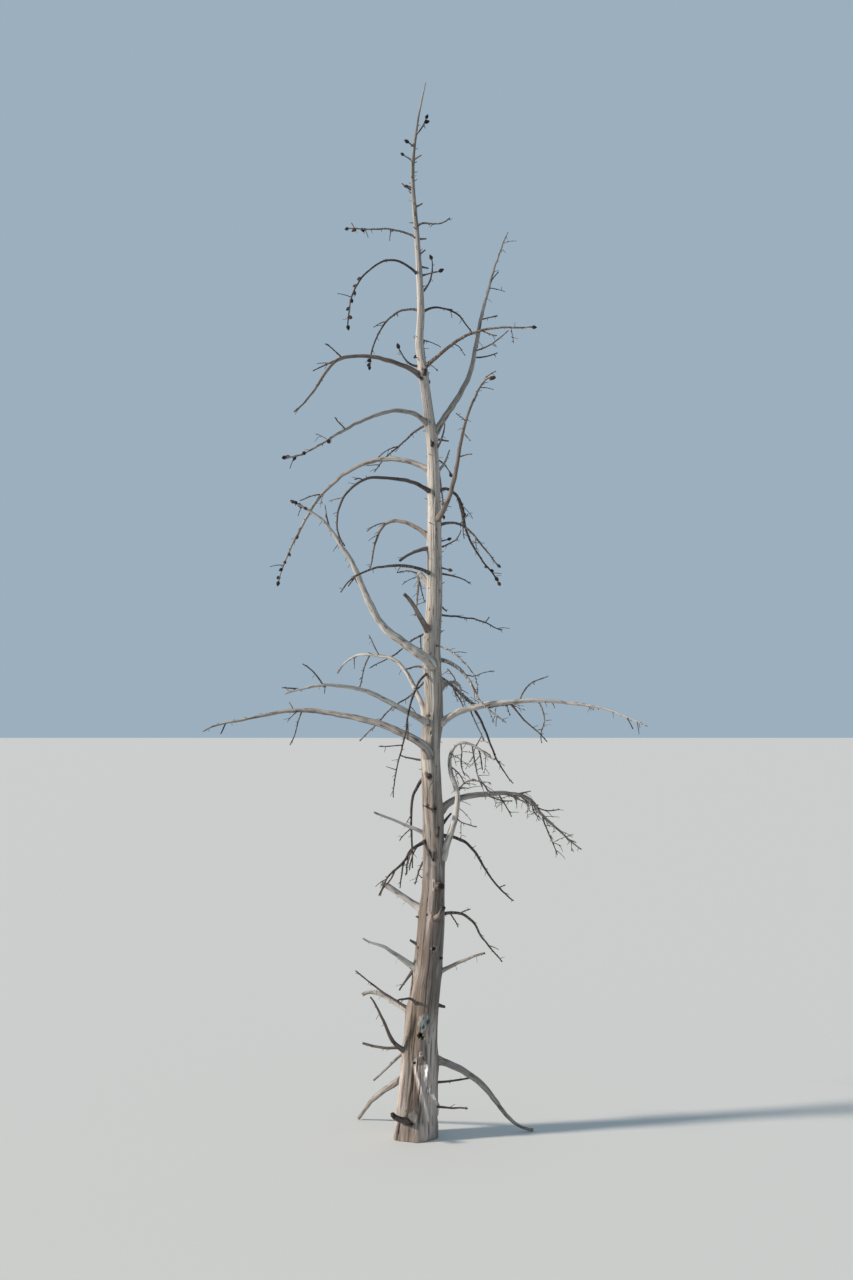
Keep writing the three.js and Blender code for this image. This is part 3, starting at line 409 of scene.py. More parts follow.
def trunkRadius(height):
    height = np.asarray(height, float)
    form = trunkForm
    taper = form["tipRadius"] + (form["buttRadius"] - form["tipRadius"]) * (1 - height / form["height"])
    climb = np.maximum(height, 0) / form["flareHeight"]
    flare = form["flareRadius"] * np.exp(-(climb ** form["flareEase"]))
    below, above = form["footSwellFade"]
    swellEnds = easeBetween(height, form["footSwellTop"] - below, form["footSwellTop"] + above)
    return taper + flare + form["footSwell"] * (1 - swellEnds)


def trunkRadiusAround(height, angle):
    form = trunkForm
    lobes = form["lobeDepth"] * np.exp(-height / form["lobeHeight"])
    lobes = lobes * np.cos(form["rootLobes"] * angle + form["lobeTurn"])
    oval = form["oval"] * np.cos(2 * angle + height / form["ovalTwist"])
    return trunkRadius(height) * (1 + lobes + oval)


def directionOf(rise, bearing):
    up = np.radians(rise)
    around = np.radians(bearing)
    return np.stack([np.cos(up) * np.cos(around), np.cos(up) * np.sin(around), np.sin(up)], axis=-1)


def growPath(start, bearing, long, rise, wander, phase, swing=0):
    steps = max(limbForm["leastSteps"], nearestWhole(long / limbForm["pathStep"]))
    share = (np.arange(steps) + 0.5) / steps
    headings = bearing + wander * np.sin(phase + share * limbForm["wanderTurn"])
    headings += swing * np.clip(1 - share * long / limbForm["swingReach"], 0, 1) ** 2
    moves = directionOf(readAlong(rise, share), headings) * (long / steps)
    return np.vstack([start, start + np.cumsum(moves, axis=0)])


def rootBearing(row):
    return row.get("root", row["bearing"])


def rootDepth(height):
    share, most = limbForm["rootDepth"]
    return min(float(trunkRadius(height)) * share, most)


def limbPath(row, phase):
    # A limb may leave the trunk at a root's bearing and swing round to its own
    root = rootBearing(row)
    start = trunkMiddle(row["at"]) + directionOf(0.0, root) * trunkRadius(row["at"])
    swing = root - row["bearing"]
    return growPath(start, row["bearing"], row["long"], row["rise"], limbForm["wander"], phase, swing)


def limbRadius(row, share):
    taper = row["thick"] + (row["tip"] - row["thick"]) * share
    fade = np.exp(-np.asarray(share) * row["long"] / limbForm["collarReach"])
    return (taper + row["thick"] * limbForm["collar"] * fade) / 2


def placeAlong(path, share):
    last = len(path) - 1
    place = min(share * last, last - 1e-6)
    start = math.floor(place)
    return path[start] + (path[start + 1] - path[start]) * (place - start)


def ringsOf(path, start, end, spacingAndBend):
    # The few places along a path that note its space: one at each spacing, and more where it bends
    spacing, bend = spacingAndBend
    last = len(path) - 1
    step = np.linalg.norm(path[1] - path[0])
    moves = unit(np.diff(path, axis=0))
    places, shares = [placeAlong(path, start)], [start]
    since = 0
    i = math.floor(start * last) + 2
    while i < end * last - limbForm["lastRing"]:
        turned = math.acos(min(max(float(moves[i - 1] @ moves[i]), -1), 1))
        since += step / spacing + turned / bend
        if since >= 1:
            places.append(path[i])
            shares.append(i / last)
            since = 0
        i += 1
    places.append(placeAlong(path, end))
    shares.append(end)
    return np.array(places), np.array(shares)


space = {
    "room": 30000,  # the most pieces of limb and twig that can be noted
    "count": 0,
    "owners": {},
}
space["starts"] = np.zeros((space["room"], 3))
space["ends"] = np.zeros((space["room"], 3))
space["radii"] = np.zeros(space["room"])
space["owned"] = np.zeros(space["room"], int)

strands = []  # every limb, stub, fork, twig and spur, as a path with its thickness
cones = []  # where each cone stands and points


def ownerNumber(owner):
    return space["owners"].setdefault(owner, len(space["owners"]))


def noteSpace(places, radii, owner):
    count = len(places) - 1
    slots = slice(space["count"], space["count"] + count)
    space["starts"][slots] = places[:-1]
    space["ends"][slots] = places[1:]
    space["radii"][slots] = np.maximum(radii[:-1], radii[1:])
    space["owned"][slots] = ownerNumber(owner)
    space["count"] += count


def gapsTo(start, end, others):
    # The nearest distance from one straight piece to each of the others
    starts = space["starts"][others]
    along = end - start
    alongs = space["ends"][others] - starts
    apart = start - starts
    own, theirs, both = along @ along, (alongs * alongs).sum(1), alongs @ along
    ownApart, theirApart = apart @ along, (apart * alongs).sum(1)
    spread = own * theirs - both * both
    crossing = spread > 1e-9  # not side by side
    place = np.clip((both * theirApart - ownApart * theirs) / np.where(crossing, spread, 1), 0, 1)
    place = np.where(crossing, place, 0)
    theirPlace = np.clip((both * place + theirApart) / theirs, 0, 1)
    place = np.clip((both * theirPlace - ownApart) / own, 0, 1)
    return np.linalg.norm(apart + place[:, None] * along - theirPlace[:, None] * alongs, axis=1)


def isClear(places, radius, owner):
    # True where a twig keeps clear of the ground, the trunk and every other owner's limbs
    others = np.flatnonzero(space["owned"][: space["count"]] != ownerNumber(owner))
    reach = radius + limbForm["clearance"]
    for start, end in zip(places[:-1], places[1:]):
        if end[2] < limbForm["aboveGround"]:
            return False
        middle = trunkMiddle(end[2])
        if np.hypot(*(end - middle)[:2]) < trunkRadius(end[2]) * limbForm["clearOfTrunk"] + reach:
            return False
        if (gapsTo(start, end, others) < space["radii"][others] + reach).any():
            return False
    return True


def addStrand(kind, path, radii, owner, tone, bearing, **more):
    strands.append(dict(kind=kind, path=path, radii=radii, owner=owner, tone=tone, bearing=bearing, **more))


def growCones(path, share, count, random, owner, tone):
    # One cone runs on from a stem's end, and the rest stand out to the sides in turn
    last = len(path) - 1
    for i in range(count):
        place = max(nearestWhole(share * last) - coneForm["apart"] * i, 1)
        along = unit(path[place] - path[place - 1])
        rise = drawn(random, coneForm["rise"])
        out = directionOf(rise, random() * 360)
        out = unit(out - along * (along @ out))
        outward = coneForm["outAtTip"] if place == last else 1
        direction = unit(along * coneForm["alongStem"] + out * outward)
        tip = path[place] + direction * coneForm["length"]
        ends = np.array([path[place], tip])
        if not isClear(ends, coneForm["radius"], owner):
            continue
        noteSpace(ends, np.full(2, float(coneForm["radius"])), owner)
        cones.append(dict(at=path[place], direction=direction, tone=tone))


def growTwigs(path, start, bearing, size, rule, random, owner, tone):
    # Short seeded twigs along a stem, and none where one would touch something
    long = np.linalg.norm(path[1] - path[0]) * (len(path) - 1)
    count = nearestWhole((1 - start) * long / rule["spacing"])
    for i in range(count):
        within, spread = twigStand["place"]
        share = start + (1 - start) * ((i + within + random() * spread) / count)
        side = -1 if random() < 0.5 else 1
        turn = side * drawn(random, twigStand["turn"])
        reach = rule["length"] * size * drawn(random, twigStand["length"])
        lift = drawn(random, twigStand["lift"])
        begin = path[min(nearestWhole(share * (len(path) - 1)), len(path) - 1)]
        rise = [lift, lift - twigStand["droop"]]
        phase = random() * limbForm["wanderStart"]
        twig = growPath(begin, bearing + turn, reach, rise, twigStand["wander"], phase)
        places, shares = ringsOf(twig, 0, 1, limbForm["twigRings"])
        if not isClear(places, rule["thickness"], owner):
            continue
        radii = (rule["thickness"] + (rule["tip"] - rule["thickness"]) * np.linspace(0, 1, len(twig))) / 2
        noteSpace(places, np.interp(shares, np.linspace(0, 1, len(twig)), radii), owner)
        addStrand("twig", twig, radii, owner, tone, bearing + turn)


def growFork(row, path, fork, random, owner):
    place, turn, long, rise, thick, coneCount = fork
    start = path[nearestWhole(place * (len(path) - 1))]
    bearing = row["bearing"] + turn
    phase = random() * limbForm["wanderStart"]
    branch = growPath(start, bearing, long, rise, limbForm["wander"], phase)
    places, shares = ringsOf(branch, 0, 1, limbForm["twigRings"])
    if not isClear(places[1:], thick / 2, owner):
        return
    tip = limbForm["forkTip"]
    radii = (thick + (tip - thick) * np.linspace(0, 1, len(branch))) / 2
    noteSpace(places, (thick + (tip - thick) * shares) / 2, owner)
    addStrand("fork", branch, radii, owner, row["tone"], bearing)
    growCones(branch, 1, coneCount, random, owner, row["tone"])
    if long > limbForm["forkWithTwigs"]:
        begin, size = limbForm["forkTwigs"]
        growTwigs(branch, begin, bearing, size, seededTwigs, random, owner, row["tone"])


def allStubs():
    # The stubs that the rows give, and a few seeded ones on the far side
    rule = farStubs
    random = randomFrom(rule["seed"])
    rows = list(stubRows)
    thin, share = rule["thickness"]
    near, aside = rule["clearOfLimbs"]
    for i in range(rule["count"]):
        at = rule["lowest"] + (i + random() * rule["stagger"]) * rule["apart"]
        bearing = drawn(random, rule["bearing"])
        thick = thin + float(trunkRadius(at)) * share * random()
        if any(abs(row["at"] - at) < near and abs(rootBearing(row) - bearing) < aside for row in limbRows):
            continue
        long = drawn(random, rule["length"])
        rise = [drawn(random, rule["rise"])]
        row = (at, bearing, long, rise, thick, thick * rule["tip"])
        rows.append({**plainStub, **dict(zip(stubNames, row))})
    return rows


def growStubs():
    random = randomFrom(seeds["stubs"])
    for index, row in enumerate(allStubs()):
        path = limbPath(row, index)
        places, shares = ringsOf(path, 0, 1, limbForm["stemRings"])
        if row["long"] < limbForm["ringedStub"]:
            places, shares = places[-1:], shares[-1:]
        root = path[0] - unit(path[1] - path[0]) * rootDepth(row["at"])
        places, shares = np.vstack([root, places]), np.append(0, shares)
        noteSpace(places, limbRadius(row, shares), "trunk")
        share = np.linspace(0, 1, len(path))
        addStrand("stub", path, limbRadius(row, share), "trunk", row["tone"], row["bearing"], row=row)
        growCones(path, 1, row["cones"], random, "trunk", row["tone"])


def noteLimbs():
    # Every limb's own space is noted first, so that twigs can keep clear of all of them
    for index, row in enumerate(limbRows):
        path = limbPath(row, index)
        split = row["split"]
        if split > 0:
            places, shares = ringsOf(path, 0, split, limbForm["boughRings"])
            noteSpace(places, limbRadius(row, shares), "bough_" + row["name"])
        if split < 1:
            places, shares = ringsOf(path, split, 1, limbForm["stemRings"])
            noteSpace(places, limbRadius(row, shares), "twigs_" + row["name"])


def growLimb(row, index):
    random = randomFrom(seeds["limbs"] + index)
    path = limbPath(row, index)
    owner = "twigs_" + row["name"]
    share = np.linspace(0, 1, len(path))
    addStrand("limb", path, limbRadius(row, share), owner, row["tone"], row["bearing"], row=row)
    split = row["split"]
    if split == 1:
        return
    for fork in row["forks"]:
        growFork(row, path, fork, random, owner)
    for place in row["cones"]:
        growCones(path, place, 1, random, owner, row["tone"])
    past, least = limbForm["firstTwig"]
    growTwigs(path, max(split + past, least), row["bearing"], 1, seededTwigs, random, owner, row["tone"])


# Finer growth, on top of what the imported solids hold

# Where each kind starts along its stem, as a share, comes last
fineTwigs = {"spacing": 62, "length": 34, "thickness": 3.2, "tip": 1.8, "start": 0.2}
snags = {"spacing": 70, "length": 13, "thickness": 4.4, "tip": 3, "start": 0.1}  # short and broken
spurs = {"spacing": 30, "length": 10, "thickness": 3.8, "tip": 2.4, "start": 0.08}  # buds and old stubs
leastStem = 90  # a shorter stem has none of them
bushy = {
    "limbs": ["right_18", "right_20", "right_21"],
    "twigs": {"spacing": 46, "length": 96, "thickness": 3.8, "tip": 2, "start": 0.15},
}
trunkSpurs = {
    "count": 84,
    "between": (1250, 4700),  # heights
    "length": (13, 24),
    "thickness": (3.6, 6.4),
    "tip": 0.6,  # share of the thickness
    "lift": (-25, 80),  # least value and range
    "rooted": 0.85,  # how far out they start, in radii of the trunk
    "tones": ["dark", "brown", "dark", "grey"],
    "seed": 47,
}


def growMore(strand, rule, random, start):
    growTwigs(strand["path"], start, strand["bearing"], 1, rule, random, strand["owner"], strand["tone"])


def growBushy():
    # Some limbs low on the tree kept most of their twigs
    owners = ["twigs_" + name for name in bushy["limbs"]]
    rule = bushy["twigs"]
    for index, strand in enumerate(list(strands)):
        if strand["owner"] in owners:
            start = strand["row"]["split"] if strand["kind"] == "limb" else rule["start"]
            growMore(strand, rule, randomFrom(seeds["bushy"] + index), start)


def growFinely():
    # The same rule carried to finer twigs, and to the snags that broken ones leave on thick limbs
    for index, strand in enumerate(list(strands)):
        if len(strand["path"]) * limbForm["pathStep"] < leastStem:
            continue
        random = randomFrom(seeds["fine"] + index)
        if strand["kind"] in ("limb", "stub"):
            growMore(strand, snags, random, snags["start"])
        growMore(strand, fineTwigs, random, fineTwigs["start"])
        growMore(strand, spurs, randomFrom(seeds["spurs"] + index), spurs["start"])


def growTrunkSpurs():
    # The spurs that small twigs left on the trunk between its limbs
    look = trunkSpurs
    random = randomFrom(look["seed"])
    for _ in range(look["count"]):
        at, long, thick = (low + (high - low) * random() for low, high in
                           (look["between"], look["length"], look["thickness"]))
        bearing = random() * 360
        lift = drawn(random, look["lift"])
        tone = look["tones"][int(random() * len(look["tones"]))]
        start = trunkMiddle(at) + directionOf(0.0, bearing) * trunkRadius(at) * look["rooted"]
        path = growPath(start, bearing, long, [lift], 0, 0)
        radii = np.linspace(thick, thick * look["tip"], len(path)) / 2
        addStrand("twig", path, radii, "trunk", tone, bearing)


growStubs()
noteLimbs()
for index, row in enumerate(limbRows):
    growLimb(row, index)
growBushy()
growFinely()
growTrunkSpurs()
print("grown:", len(strands), "limbs, twigs and stubs with", len(cones), "cones")


# Meshes

noiseFactors = {"x": 374761393, "y": 668265263, "z": 1911520717, "seed": 144269, "stir": 1274126177}


def smoothNoise(points, seed):
    # Smooth values from -1 to 1 through space, the same on every run
    cell = np.floor(points).astype(np.int64)
    part = points - cell
    ease = part * part * (3 - 2 * part)
    total = np.zeros(points.shape[:-1])
    factors = noiseFactors
    for corner in np.ndindex(2, 2, 2):
        at = cell + corner
        whole = at[..., 0] * factors["x"] + at[..., 1] * factors["y"] + at[..., 2] * factors["z"]
        whole = whole + seed * factors["seed"]
        whole = (whole ^ (whole >> 13)) * factors["stir"]
        whole = (whole ^ (whole >> 16)) & 0xFFFF
        weight = np.prod(np.where(corner, ease, 1 - ease), axis=-1)
        total += weight * (whole / (0xFFFF / 2) - 1)
    return total


markNames = ("dark", "pale", "stain", "callus")  # values on a mesh's points that its material reads; dark holds painted shade in low spots, grooves, hollows and creases as well as dark knots and tips


def newPile():
    # What a piece is made of, gathered until it becomes one mesh
    names = ("points", "quads", "triangles", "grain", "quadTones", "triangleTones", *markNames)
    return {"count": 0, **{name: [] for name in names}}


def addToPile(pile, points, quads, triangles, grain, tone, **marks):
    pile["points"].append(points)
    pile["quads"].append(np.asarray(quads, int).reshape(-1, 4) + pile["count"])
    pile["triangles"].append(np.asarray(triangles, int).reshape(-1, 3) + pile["count"])
    pile["grain"].append(grain)
    for name in markNames:
        pile[name].append(np.broadcast_to(marks.get(name, 0.0), len(points)))
    pile["quadTones"].append(np.full(len(pile["quads"][-1]), tone))
    pile["triangleTones"].append(np.full(len(pile["triangles"][-1]), tone))
    pile["count"] += len(points)


def makePiece(name, pile, materials, slot, *nodes):
    # One mesh object that rides on the tree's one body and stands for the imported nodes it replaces
    points = np.concatenate(pile["points"]) * mm
    quads, triangles = np.concatenate(pile["quads"]), np.concatenate(pile["triangles"])
    mesh = bpy.data.meshes.new(name)
    mesh.vertices.add(len(points))
    mesh.vertices.foreach_set("co", points.astype(np.float32).ravel())
    corners = np.concatenate([quads.ravel(), triangles.ravel()]).astype(np.int32)
    mesh.loops.add(len(corners))
    mesh.loops.foreach_set("vertex_index", corners)
    starts = np.concatenate([np.arange(len(quads)) * 4, quads.size + np.arange(len(triangles)) * 3])
    mesh.polygons.add(len(starts))
    mesh.polygons.foreach_set("loop_start", starts.astype(np.int32))
    tones = np.concatenate(pile["quadTones"] + pile["triangleTones"])
    mesh.polygons.foreach_set("material_index", tones.astype(np.int32))
    mesh.polygons.foreach_set("use_smooth", np.ones(len(starts), bool))
    mesh.update(calc_edges=True)
    grain = mesh.attributes.new("grain", "FLOAT_VECTOR", "POINT")
    grain.data.foreach_set("vector", (np.concatenate(pile["grain"]) * mm).astype(np.float32).ravel())
    for mark in markNames:
        layer = mesh.attributes.new(mark, "FLOAT", "POINT")
        layer.data.foreach_set("value", np.concatenate(pile[mark]).astype(np.float32))
    for material in materials:
        mesh.materials.append(material)
    if mesh.validate():
        print("mesh", name, "had faults")
    piece = bpy.data.objects.new(name, mesh)
    bpy.context.scene.collection.objects.link(piece)
    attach(piece, "root")
    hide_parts(*nodes)
    print(name, "has", len(quads) * 2 + len(triangles), "triangles")
    return piece


def ringQuads(rings, sides):
    ring, side = np.meshgrid(np.arange(rings - 1), np.arange(sides), indexing="ij")
    here, there = ring * sides + side, ring * sides + (side + 1) % sides
    return np.stack([here, there, there + sides, here + sides], axis=-1).reshape(-1, 4)


def capTriangles(first, middle, sides, facing):
    # A fan that closes a ring, turned to face along the tube or back down it
    here = first + np.arange(sides)
    there = first + (np.arange(sides) + 1) % sides
    pair = (here, there) if facing > 0 else (there, here)
    return np.stack([np.full(sides, middle), *pair], axis=-1)


def axisAcross(direction):
    # An axis that the direction surely isn't along
    return axisX if abs(direction[2]) > 0.9 else axisZ


def framesAlong(path):
    # Sideways and over directions at each point, carried along so that a tube doesn't twist
    along = unit(np.gradient(path, axis=0))
    side = np.cross(along[0], axisAcross(along[0]))
    sides = np.empty_like(path)
    for i, direction in enumerate(along):
        side = side - direction * (side @ direction)
        side = side / np.linalg.norm(side)
        sides[i] = side
    return along, sides, np.cross(along, sides)


limbSkin = {
    "kink": 2.4,  # millimetres that a limb's line wanders in small crooks
    "kinkLength": 34,
    "clearOfTrunk": 70,  # over which the crooks fade in
    "ringStep": 7,
    "thin": (5, 1.5),  # up to this radius the rings stand that many steps apart
    "sidesFor": [(14, 22), (9, 16), (5, 11), (2.6, 8), (0, 6)],  # least radius, sides
    "lumps": 0.09,  # share of the radius
    "lumpSize": (2.2, 26),  # across in radii, and along in millimetres
    "ridges": 0.05,
    "ridgeSize": (4.5, 4.5, 60),
    "apart": (37.0, 11.0, 173.0),  # how far the noise moves from one limb to the next
    "splinter": 0.55,  # how far broken ends jut, as a share of the radius
    "splinterBack": 0.3,  # share of a splinter's range that sinks
    "endCap": (0.3, 0.9),  # how far a broken end's middle sinks, and a whole tip's stands out, in radii
    "dark": (2, 4, 0.5),  # painted shade in the low spots of the lumps and of the ridges: how dark each is, and the most
    "tipDark": 0.4,  # the least darkness of a tip's very end
    "tipReach": 3,  # in radii of the tip
}


def crooked(points):
    # Small crooks, the same for every path that passes a place, so that forks stay on their limbs
    level = np.clip(points[:, 2], 0, trunkForm["height"])
    away = np.hypot(*(points - trunkMiddle(level))[:, :2].T) - trunkRadius(level)
    fade = easeBetween(away, 0, limbSkin["clearOfTrunk"])
    spots = points / limbSkin["kinkLength"]
    push = np.stack([smoothNoise(spots, seed) for seed in seeds["kinks"]], axis=-1)
    return points + push * (fade * limbSkin["kink"])[:, None]


def respaced(path, radii, step):
    # The same path with rings at about one step
    lengths = np.append(0, np.cumsum(np.linalg.norm(np.diff(path, axis=0), axis=1)))
    count = max(3, nearestWhole(lengths[-1] / step) + 1)
    wanted = np.linspace(0, lengths[-1], count)
    spread = np.stack([np.interp(wanted, lengths, path[:, k]) for k in range(3)], axis=-1)
    return spread, np.interp(wanted, lengths, radii)


def addTube(pile, path, radii, seed, broken, tone=0, darkTip=0.0):
    # A limb or twig: rings of wood with lumps and ridges, closed at the root and at the tip
    thickest = radii.max()
    sides = next(count for least, count in limbSkin["sidesFor"] if thickest >= least)
    thin, wider = limbSkin["thin"]
    path, radii = respaced(path, radii, limbSkin["ringStep"] * (1 if thickest > thin else wider))
    along, side, over = framesAlong(path)
    angle = np.arange(sides) / sides * 2 * math.pi
    around = np.cos(angle)[None, :, None] * side[:, None] + np.sin(angle)[None, :, None] * over[:, None]
    lengths = np.append(0, np.cumsum(np.linalg.norm(np.diff(path, axis=0), axis=1)))
    local = np.empty((len(path), sides, 3))
    local[..., 0] = radii[:, None] * np.cos(angle)
    local[..., 1] = radii[:, None] * np.sin(angle)
    local[..., 2] = lengths[:, None]
    shifted = local + np.multiply(limbSkin["apart"], seed)
    across, far = limbSkin["lumpSize"]
    lumpSize = (thickest * across, thickest * across, far)
    lumps = smoothNoise(shifted / lumpSize, seeds["lumps"]) * limbSkin["lumps"]
    ridges = smoothNoise(shifted / limbSkin["ridgeSize"], seeds["ridges"]) * limbSkin["ridges"]
    reach = radii[:, None] * (1 + lumps + ridges)
    skin = path[:, None] + around * reach[..., None]
    rough = randomFrom(seeds["brokenEnds"] + seed)
    if broken:
        jut = np.array([rough() - limbSkin["splinterBack"] for _ in range(sides)])
        jut = jut * radii[-1] * 2 * limbSkin["splinter"]
        skin[-1] += along[-1] * jut[:, None]
    sunk, raised = limbSkin["endCap"]
    rootPoint = path[0] - along[0] * radii[0] * sunk
    tipPoint = path[-1] + along[-1] * radii[-1] * (-sunk if broken else raised)
    points = np.vstack([skin.reshape(-1, 3), rootPoint, tipPoint])
    rings = len(path)
    rootIndex, tipIndex = rings * sides, rings * sides + 1
    triangles = np.vstack([capTriangles(0, rootIndex, sides, -1),
                           capTriangles((rings - 1) * sides, tipIndex, sides, 1)])
    grain = np.vstack([shifted.reshape(-1, 3), shifted[0].mean(0), shifted[-1].mean(0)])
    # Painted shade in the low spots of the lumps and ridges, then the dark tip
    lumpDark, ridgeDark, most = limbSkin["dark"]
    dark = np.clip(-lumps * lumpDark - ridges * ridgeDark, 0, most)
    nearTip = np.exp(-(lengths[-1] - lengths) / (radii[-1] * limbSkin["tipReach"]))
    dark = np.maximum(dark, (darkTip * nearTip)[:, None])
    dark = np.append(dark.ravel(), [0, max(darkTip, limbSkin["tipDark"])])
    addToPile(pile, points, ringQuads(rings, sides), triangles, grain, tone, dark=dark)


# The trunk's skin

trunkSkin = {
    "sides": 160,
    "footStep": 5.2,  # millimetres between rings over the foot, where the scars are
    "footTop": 1250,
    "upperStep": 9.6,
    "twist": 0.00011,  # radians a millimetre: the slow spiral of the grain
    "furrows": [(7, 1.5, 0.4), (13, 1.0, 2.1), (22, 0.7, 4.0)],  # count round the stem, depth, phase
    "furrowFade": 520,
    "furrowLeast": 0.14,
    "furrowMiddle": 0.64,
    "furrowSway": (0.55, 310),  # radians to either side, and the height of a radian of sway
    "coarse": (13, 13, 210),  # sizes of the coarse and the fine relief: across, across and along
    "fine": (6, 6, 80),
    "relief": (1.3, 0.6),  # their heights
    "dipShade": (0.35, 0.25, 0.3),  # painted shade in the low spots of the coarse and the fine relief: how dark each is, and the most
    "slim": (45, 0.05, 1.3),  # the radius at which relief has its full height, and its least and most share
    "leastReach": 0.4,  # the deepest that anything cuts, as a share of the radius
    "swelling": 0.2,  # round a limb, as a share of its thickness
    "swellingSize": (0.95, 1.6, 0.3),  # half width, how much taller it is, and how far down it sits
    "swellingReach": 4,  # in half widths, where it has faded out
    "limbCreaseShade": (1.35, 0.25, 0.4),  # painted shade in the crease round a limb: where, how wide, how dark
    "grainBend": (0.65, 1.5, 2),  # how far the grain bends round a limb, how wide, and how much taller
    "grainBendFrom": 11,  # thickness of the thinnest limb that bends it
    "grainBendReach": 5,
}

dryingCracks = {  # seeded, each pair a least value and the range above it
    "count": 190,
    "top": 4500,
    "gatherLow": 1.3,  # 1 spreads them evenly up the trunk
    "length": (60, 460),
    "halfWidth": (1.8, 2.6),
    "depth": (1.4, 1.4),  # in half widths
    "slim": (0.45, 0.55, 95),  # how much narrower they are where the trunk's radius is under the last value
    "fade": 620,  # height over which they grow shallow and pale
    "fadedDepth": (0.5, 0.5),
    # the painted shade inside the cracks, darker low on the trunk
    "fadedDarkness": (0.3, 0.7),
    "uneven": (0.5, 0.5),
    "drift": 3,  # degrees
    "seed": 41,
}

# Long cracks and grooves: low, high, bearing at the low end and the high end, half width, depth, darkness of
# the painted shade inside
trunkGrooves = [
    (-20, 112, -143, -141, 6, 16, 1), (110, 250, -141, -138, 3, 5, 0.5), (380, 610, -119, -117, 7, 4, 0.65),
    (180, 660, -122, -134, 5.5, 5, 0.5), (295, 470, -47, -50, 3.4, 5, 0.8),
    (0, 210, -62, -70, 3.4, 5, 0.5), (330, 470, -68, -70, 2.6, 4, 0.6), (0, 120, -92, -95, 3.2, 4, 0.4),
    (0, 140, -108, -112, 3, 4, 0.4), (560, 930, -84, -88, 4, 4, 0.35),
    (700, 1260, -118, -112, 4, 3.5, 0.3), (900, 1700, -60, -66, 3, 3, 0.35),
    (2338, 2392, -92, -93, 2, 4, 0.7), (1300, 1900, -78, -80, 3, 3, 0.3),
    (2300, 2900, -70, -76, 2.5, 2.5, 0.3), (0, 420, 60, 52, 4.5, 9, 0.8),
    (120, 700, 130, 140, 4, 7, 0.6), (500, 1300, 20, 12, 3.5, 6, 0.6),
    (1500, 2400, 100, 88, 3, 5, 0.6),
]

# Rough grey callus over old wounds: height, bearing, half width, half height, lean, swelling, strength
callusMarks = [(522, -80, 27, 38, 8, 9, 1), (110, -97, 22, 26, 20, 9, 0.45)]
callusLook = {"edge": (0.7, 1.1), "ragged": 0.2, "rough": 3, "cover": (0.75, 0.5)}

# Knots, holes and slits: height, bearing, half width, half height, lean, depth, rim, darkness, paleness; the
# darkness is the knots' own dark wood and painted shade in the hollows
trunkMarks = [
    (530, -68, 8, 13, 30, 4, 1, 0.8, 0), (505, -82, 7, 10, 0, 4, 1, 0.6, 0),
    (534, -97, 3, 13, -8, -2, 0, 0, 0.9), (467, -91, 12, 12, 0, 24, 2, 1, 0),
    (457, -82, 10, 7, 30, 14, 1, 0.9, 0), (546, -84, 5, 6, 0, 3, 0, 0.5, 0),
    (387, -86, 5, 6, 0, -3, 1, 0, 0.8), (366, -96, 3, 17, 58, -3, 0, 0, 0.7),
    (345, -106, 8, 6, -14, 8, 2, 0.9, 0.5), (324, -69, 10, 8, 14, 9, 2, 0.9, 0.7),
    (366, -76, 4, 13, -34, 5, 1, 0.6, 0.2), (80, -108, 24, 7, 10, 10, 2, 0.8, 0.1),
    (1138, -90, 4, 16, 0, 0, 0, 0, 0.7), (1268, -102, 5, 33, -28, 9, 2, 1, 0.3),
    (1489, -112, 13, 6, 20, 7, 2, 0.8, 0.3), (1893, -119, 16, 6, -12, 8, 3, 0.9, 0.4),
    (1818, -95, 5, 5, 0, 5, 2, 0.8, 0), (1637, -115, 18, 5, 4, 6, 3, 0.8, 0.3),
    (850, -72, 9, 9, 0, 9, 3, 1, 0.4), (848, -146, 8, 8, 0, 8, 3, 0.9, 0.2),
    (1000, -112, 5, 6, 0, 5, 2, 0.7, 0.2), (2735, -73, 5, 5, 0, 4, 2, 0.8, 0),
    (2457, -42, 5, 6, 0, 5, 2, 0.8, 0), (2376, -124, 4, 5, 0, 4, 2, 0.8, 0),
    (3138, -93, 6, 6, 0, 4, 2, 0.7, 0.1), (3465, -86, 8, 6, 0, 4, 2, 0.6, 0.2),
    (640, 95, 12, 17, 0, 9, 5, 0.8, 0.3), (1550, 70, 9, 11, 0, 7, 4, 0.8, 0.2),
    (1140, 150, 10, 12, 0, 7, 4, 0.8, 0.3), (300, 40, 14, 20, 0, 10, 5, 0.8, 0.3),
]

# Brown zones of the wood: low, high, bearing, half width in degrees, strength
brownZones = [
    (400, 740, -126, 52, 0.85), (620, 900, -118, 24, 0.7), (1060, 1170, -150, 22, 0.6),
    (120, 280, -106, 16, 0.8), (560, 1000, -162, 26, 0.6), (240, 320, -78, 8, 0.9), (0, 62, -104, 40, 0.5),
    (900, 1060, -128, 20, 0.4), (1240, 1400, -84, 12, 0.5), (200, 900, 80, 60, 0.4),
]

# Where wood has bleached: the same
paleZones = [
    (110, 400, -158, 24, 0.55), (50, 560, -48, 28, 0.65), (0, 110, -62, 30, 0.6),
    (900, 1300, -104, 14, 0.4), (20, 110, -165, 20, 0.5),
]

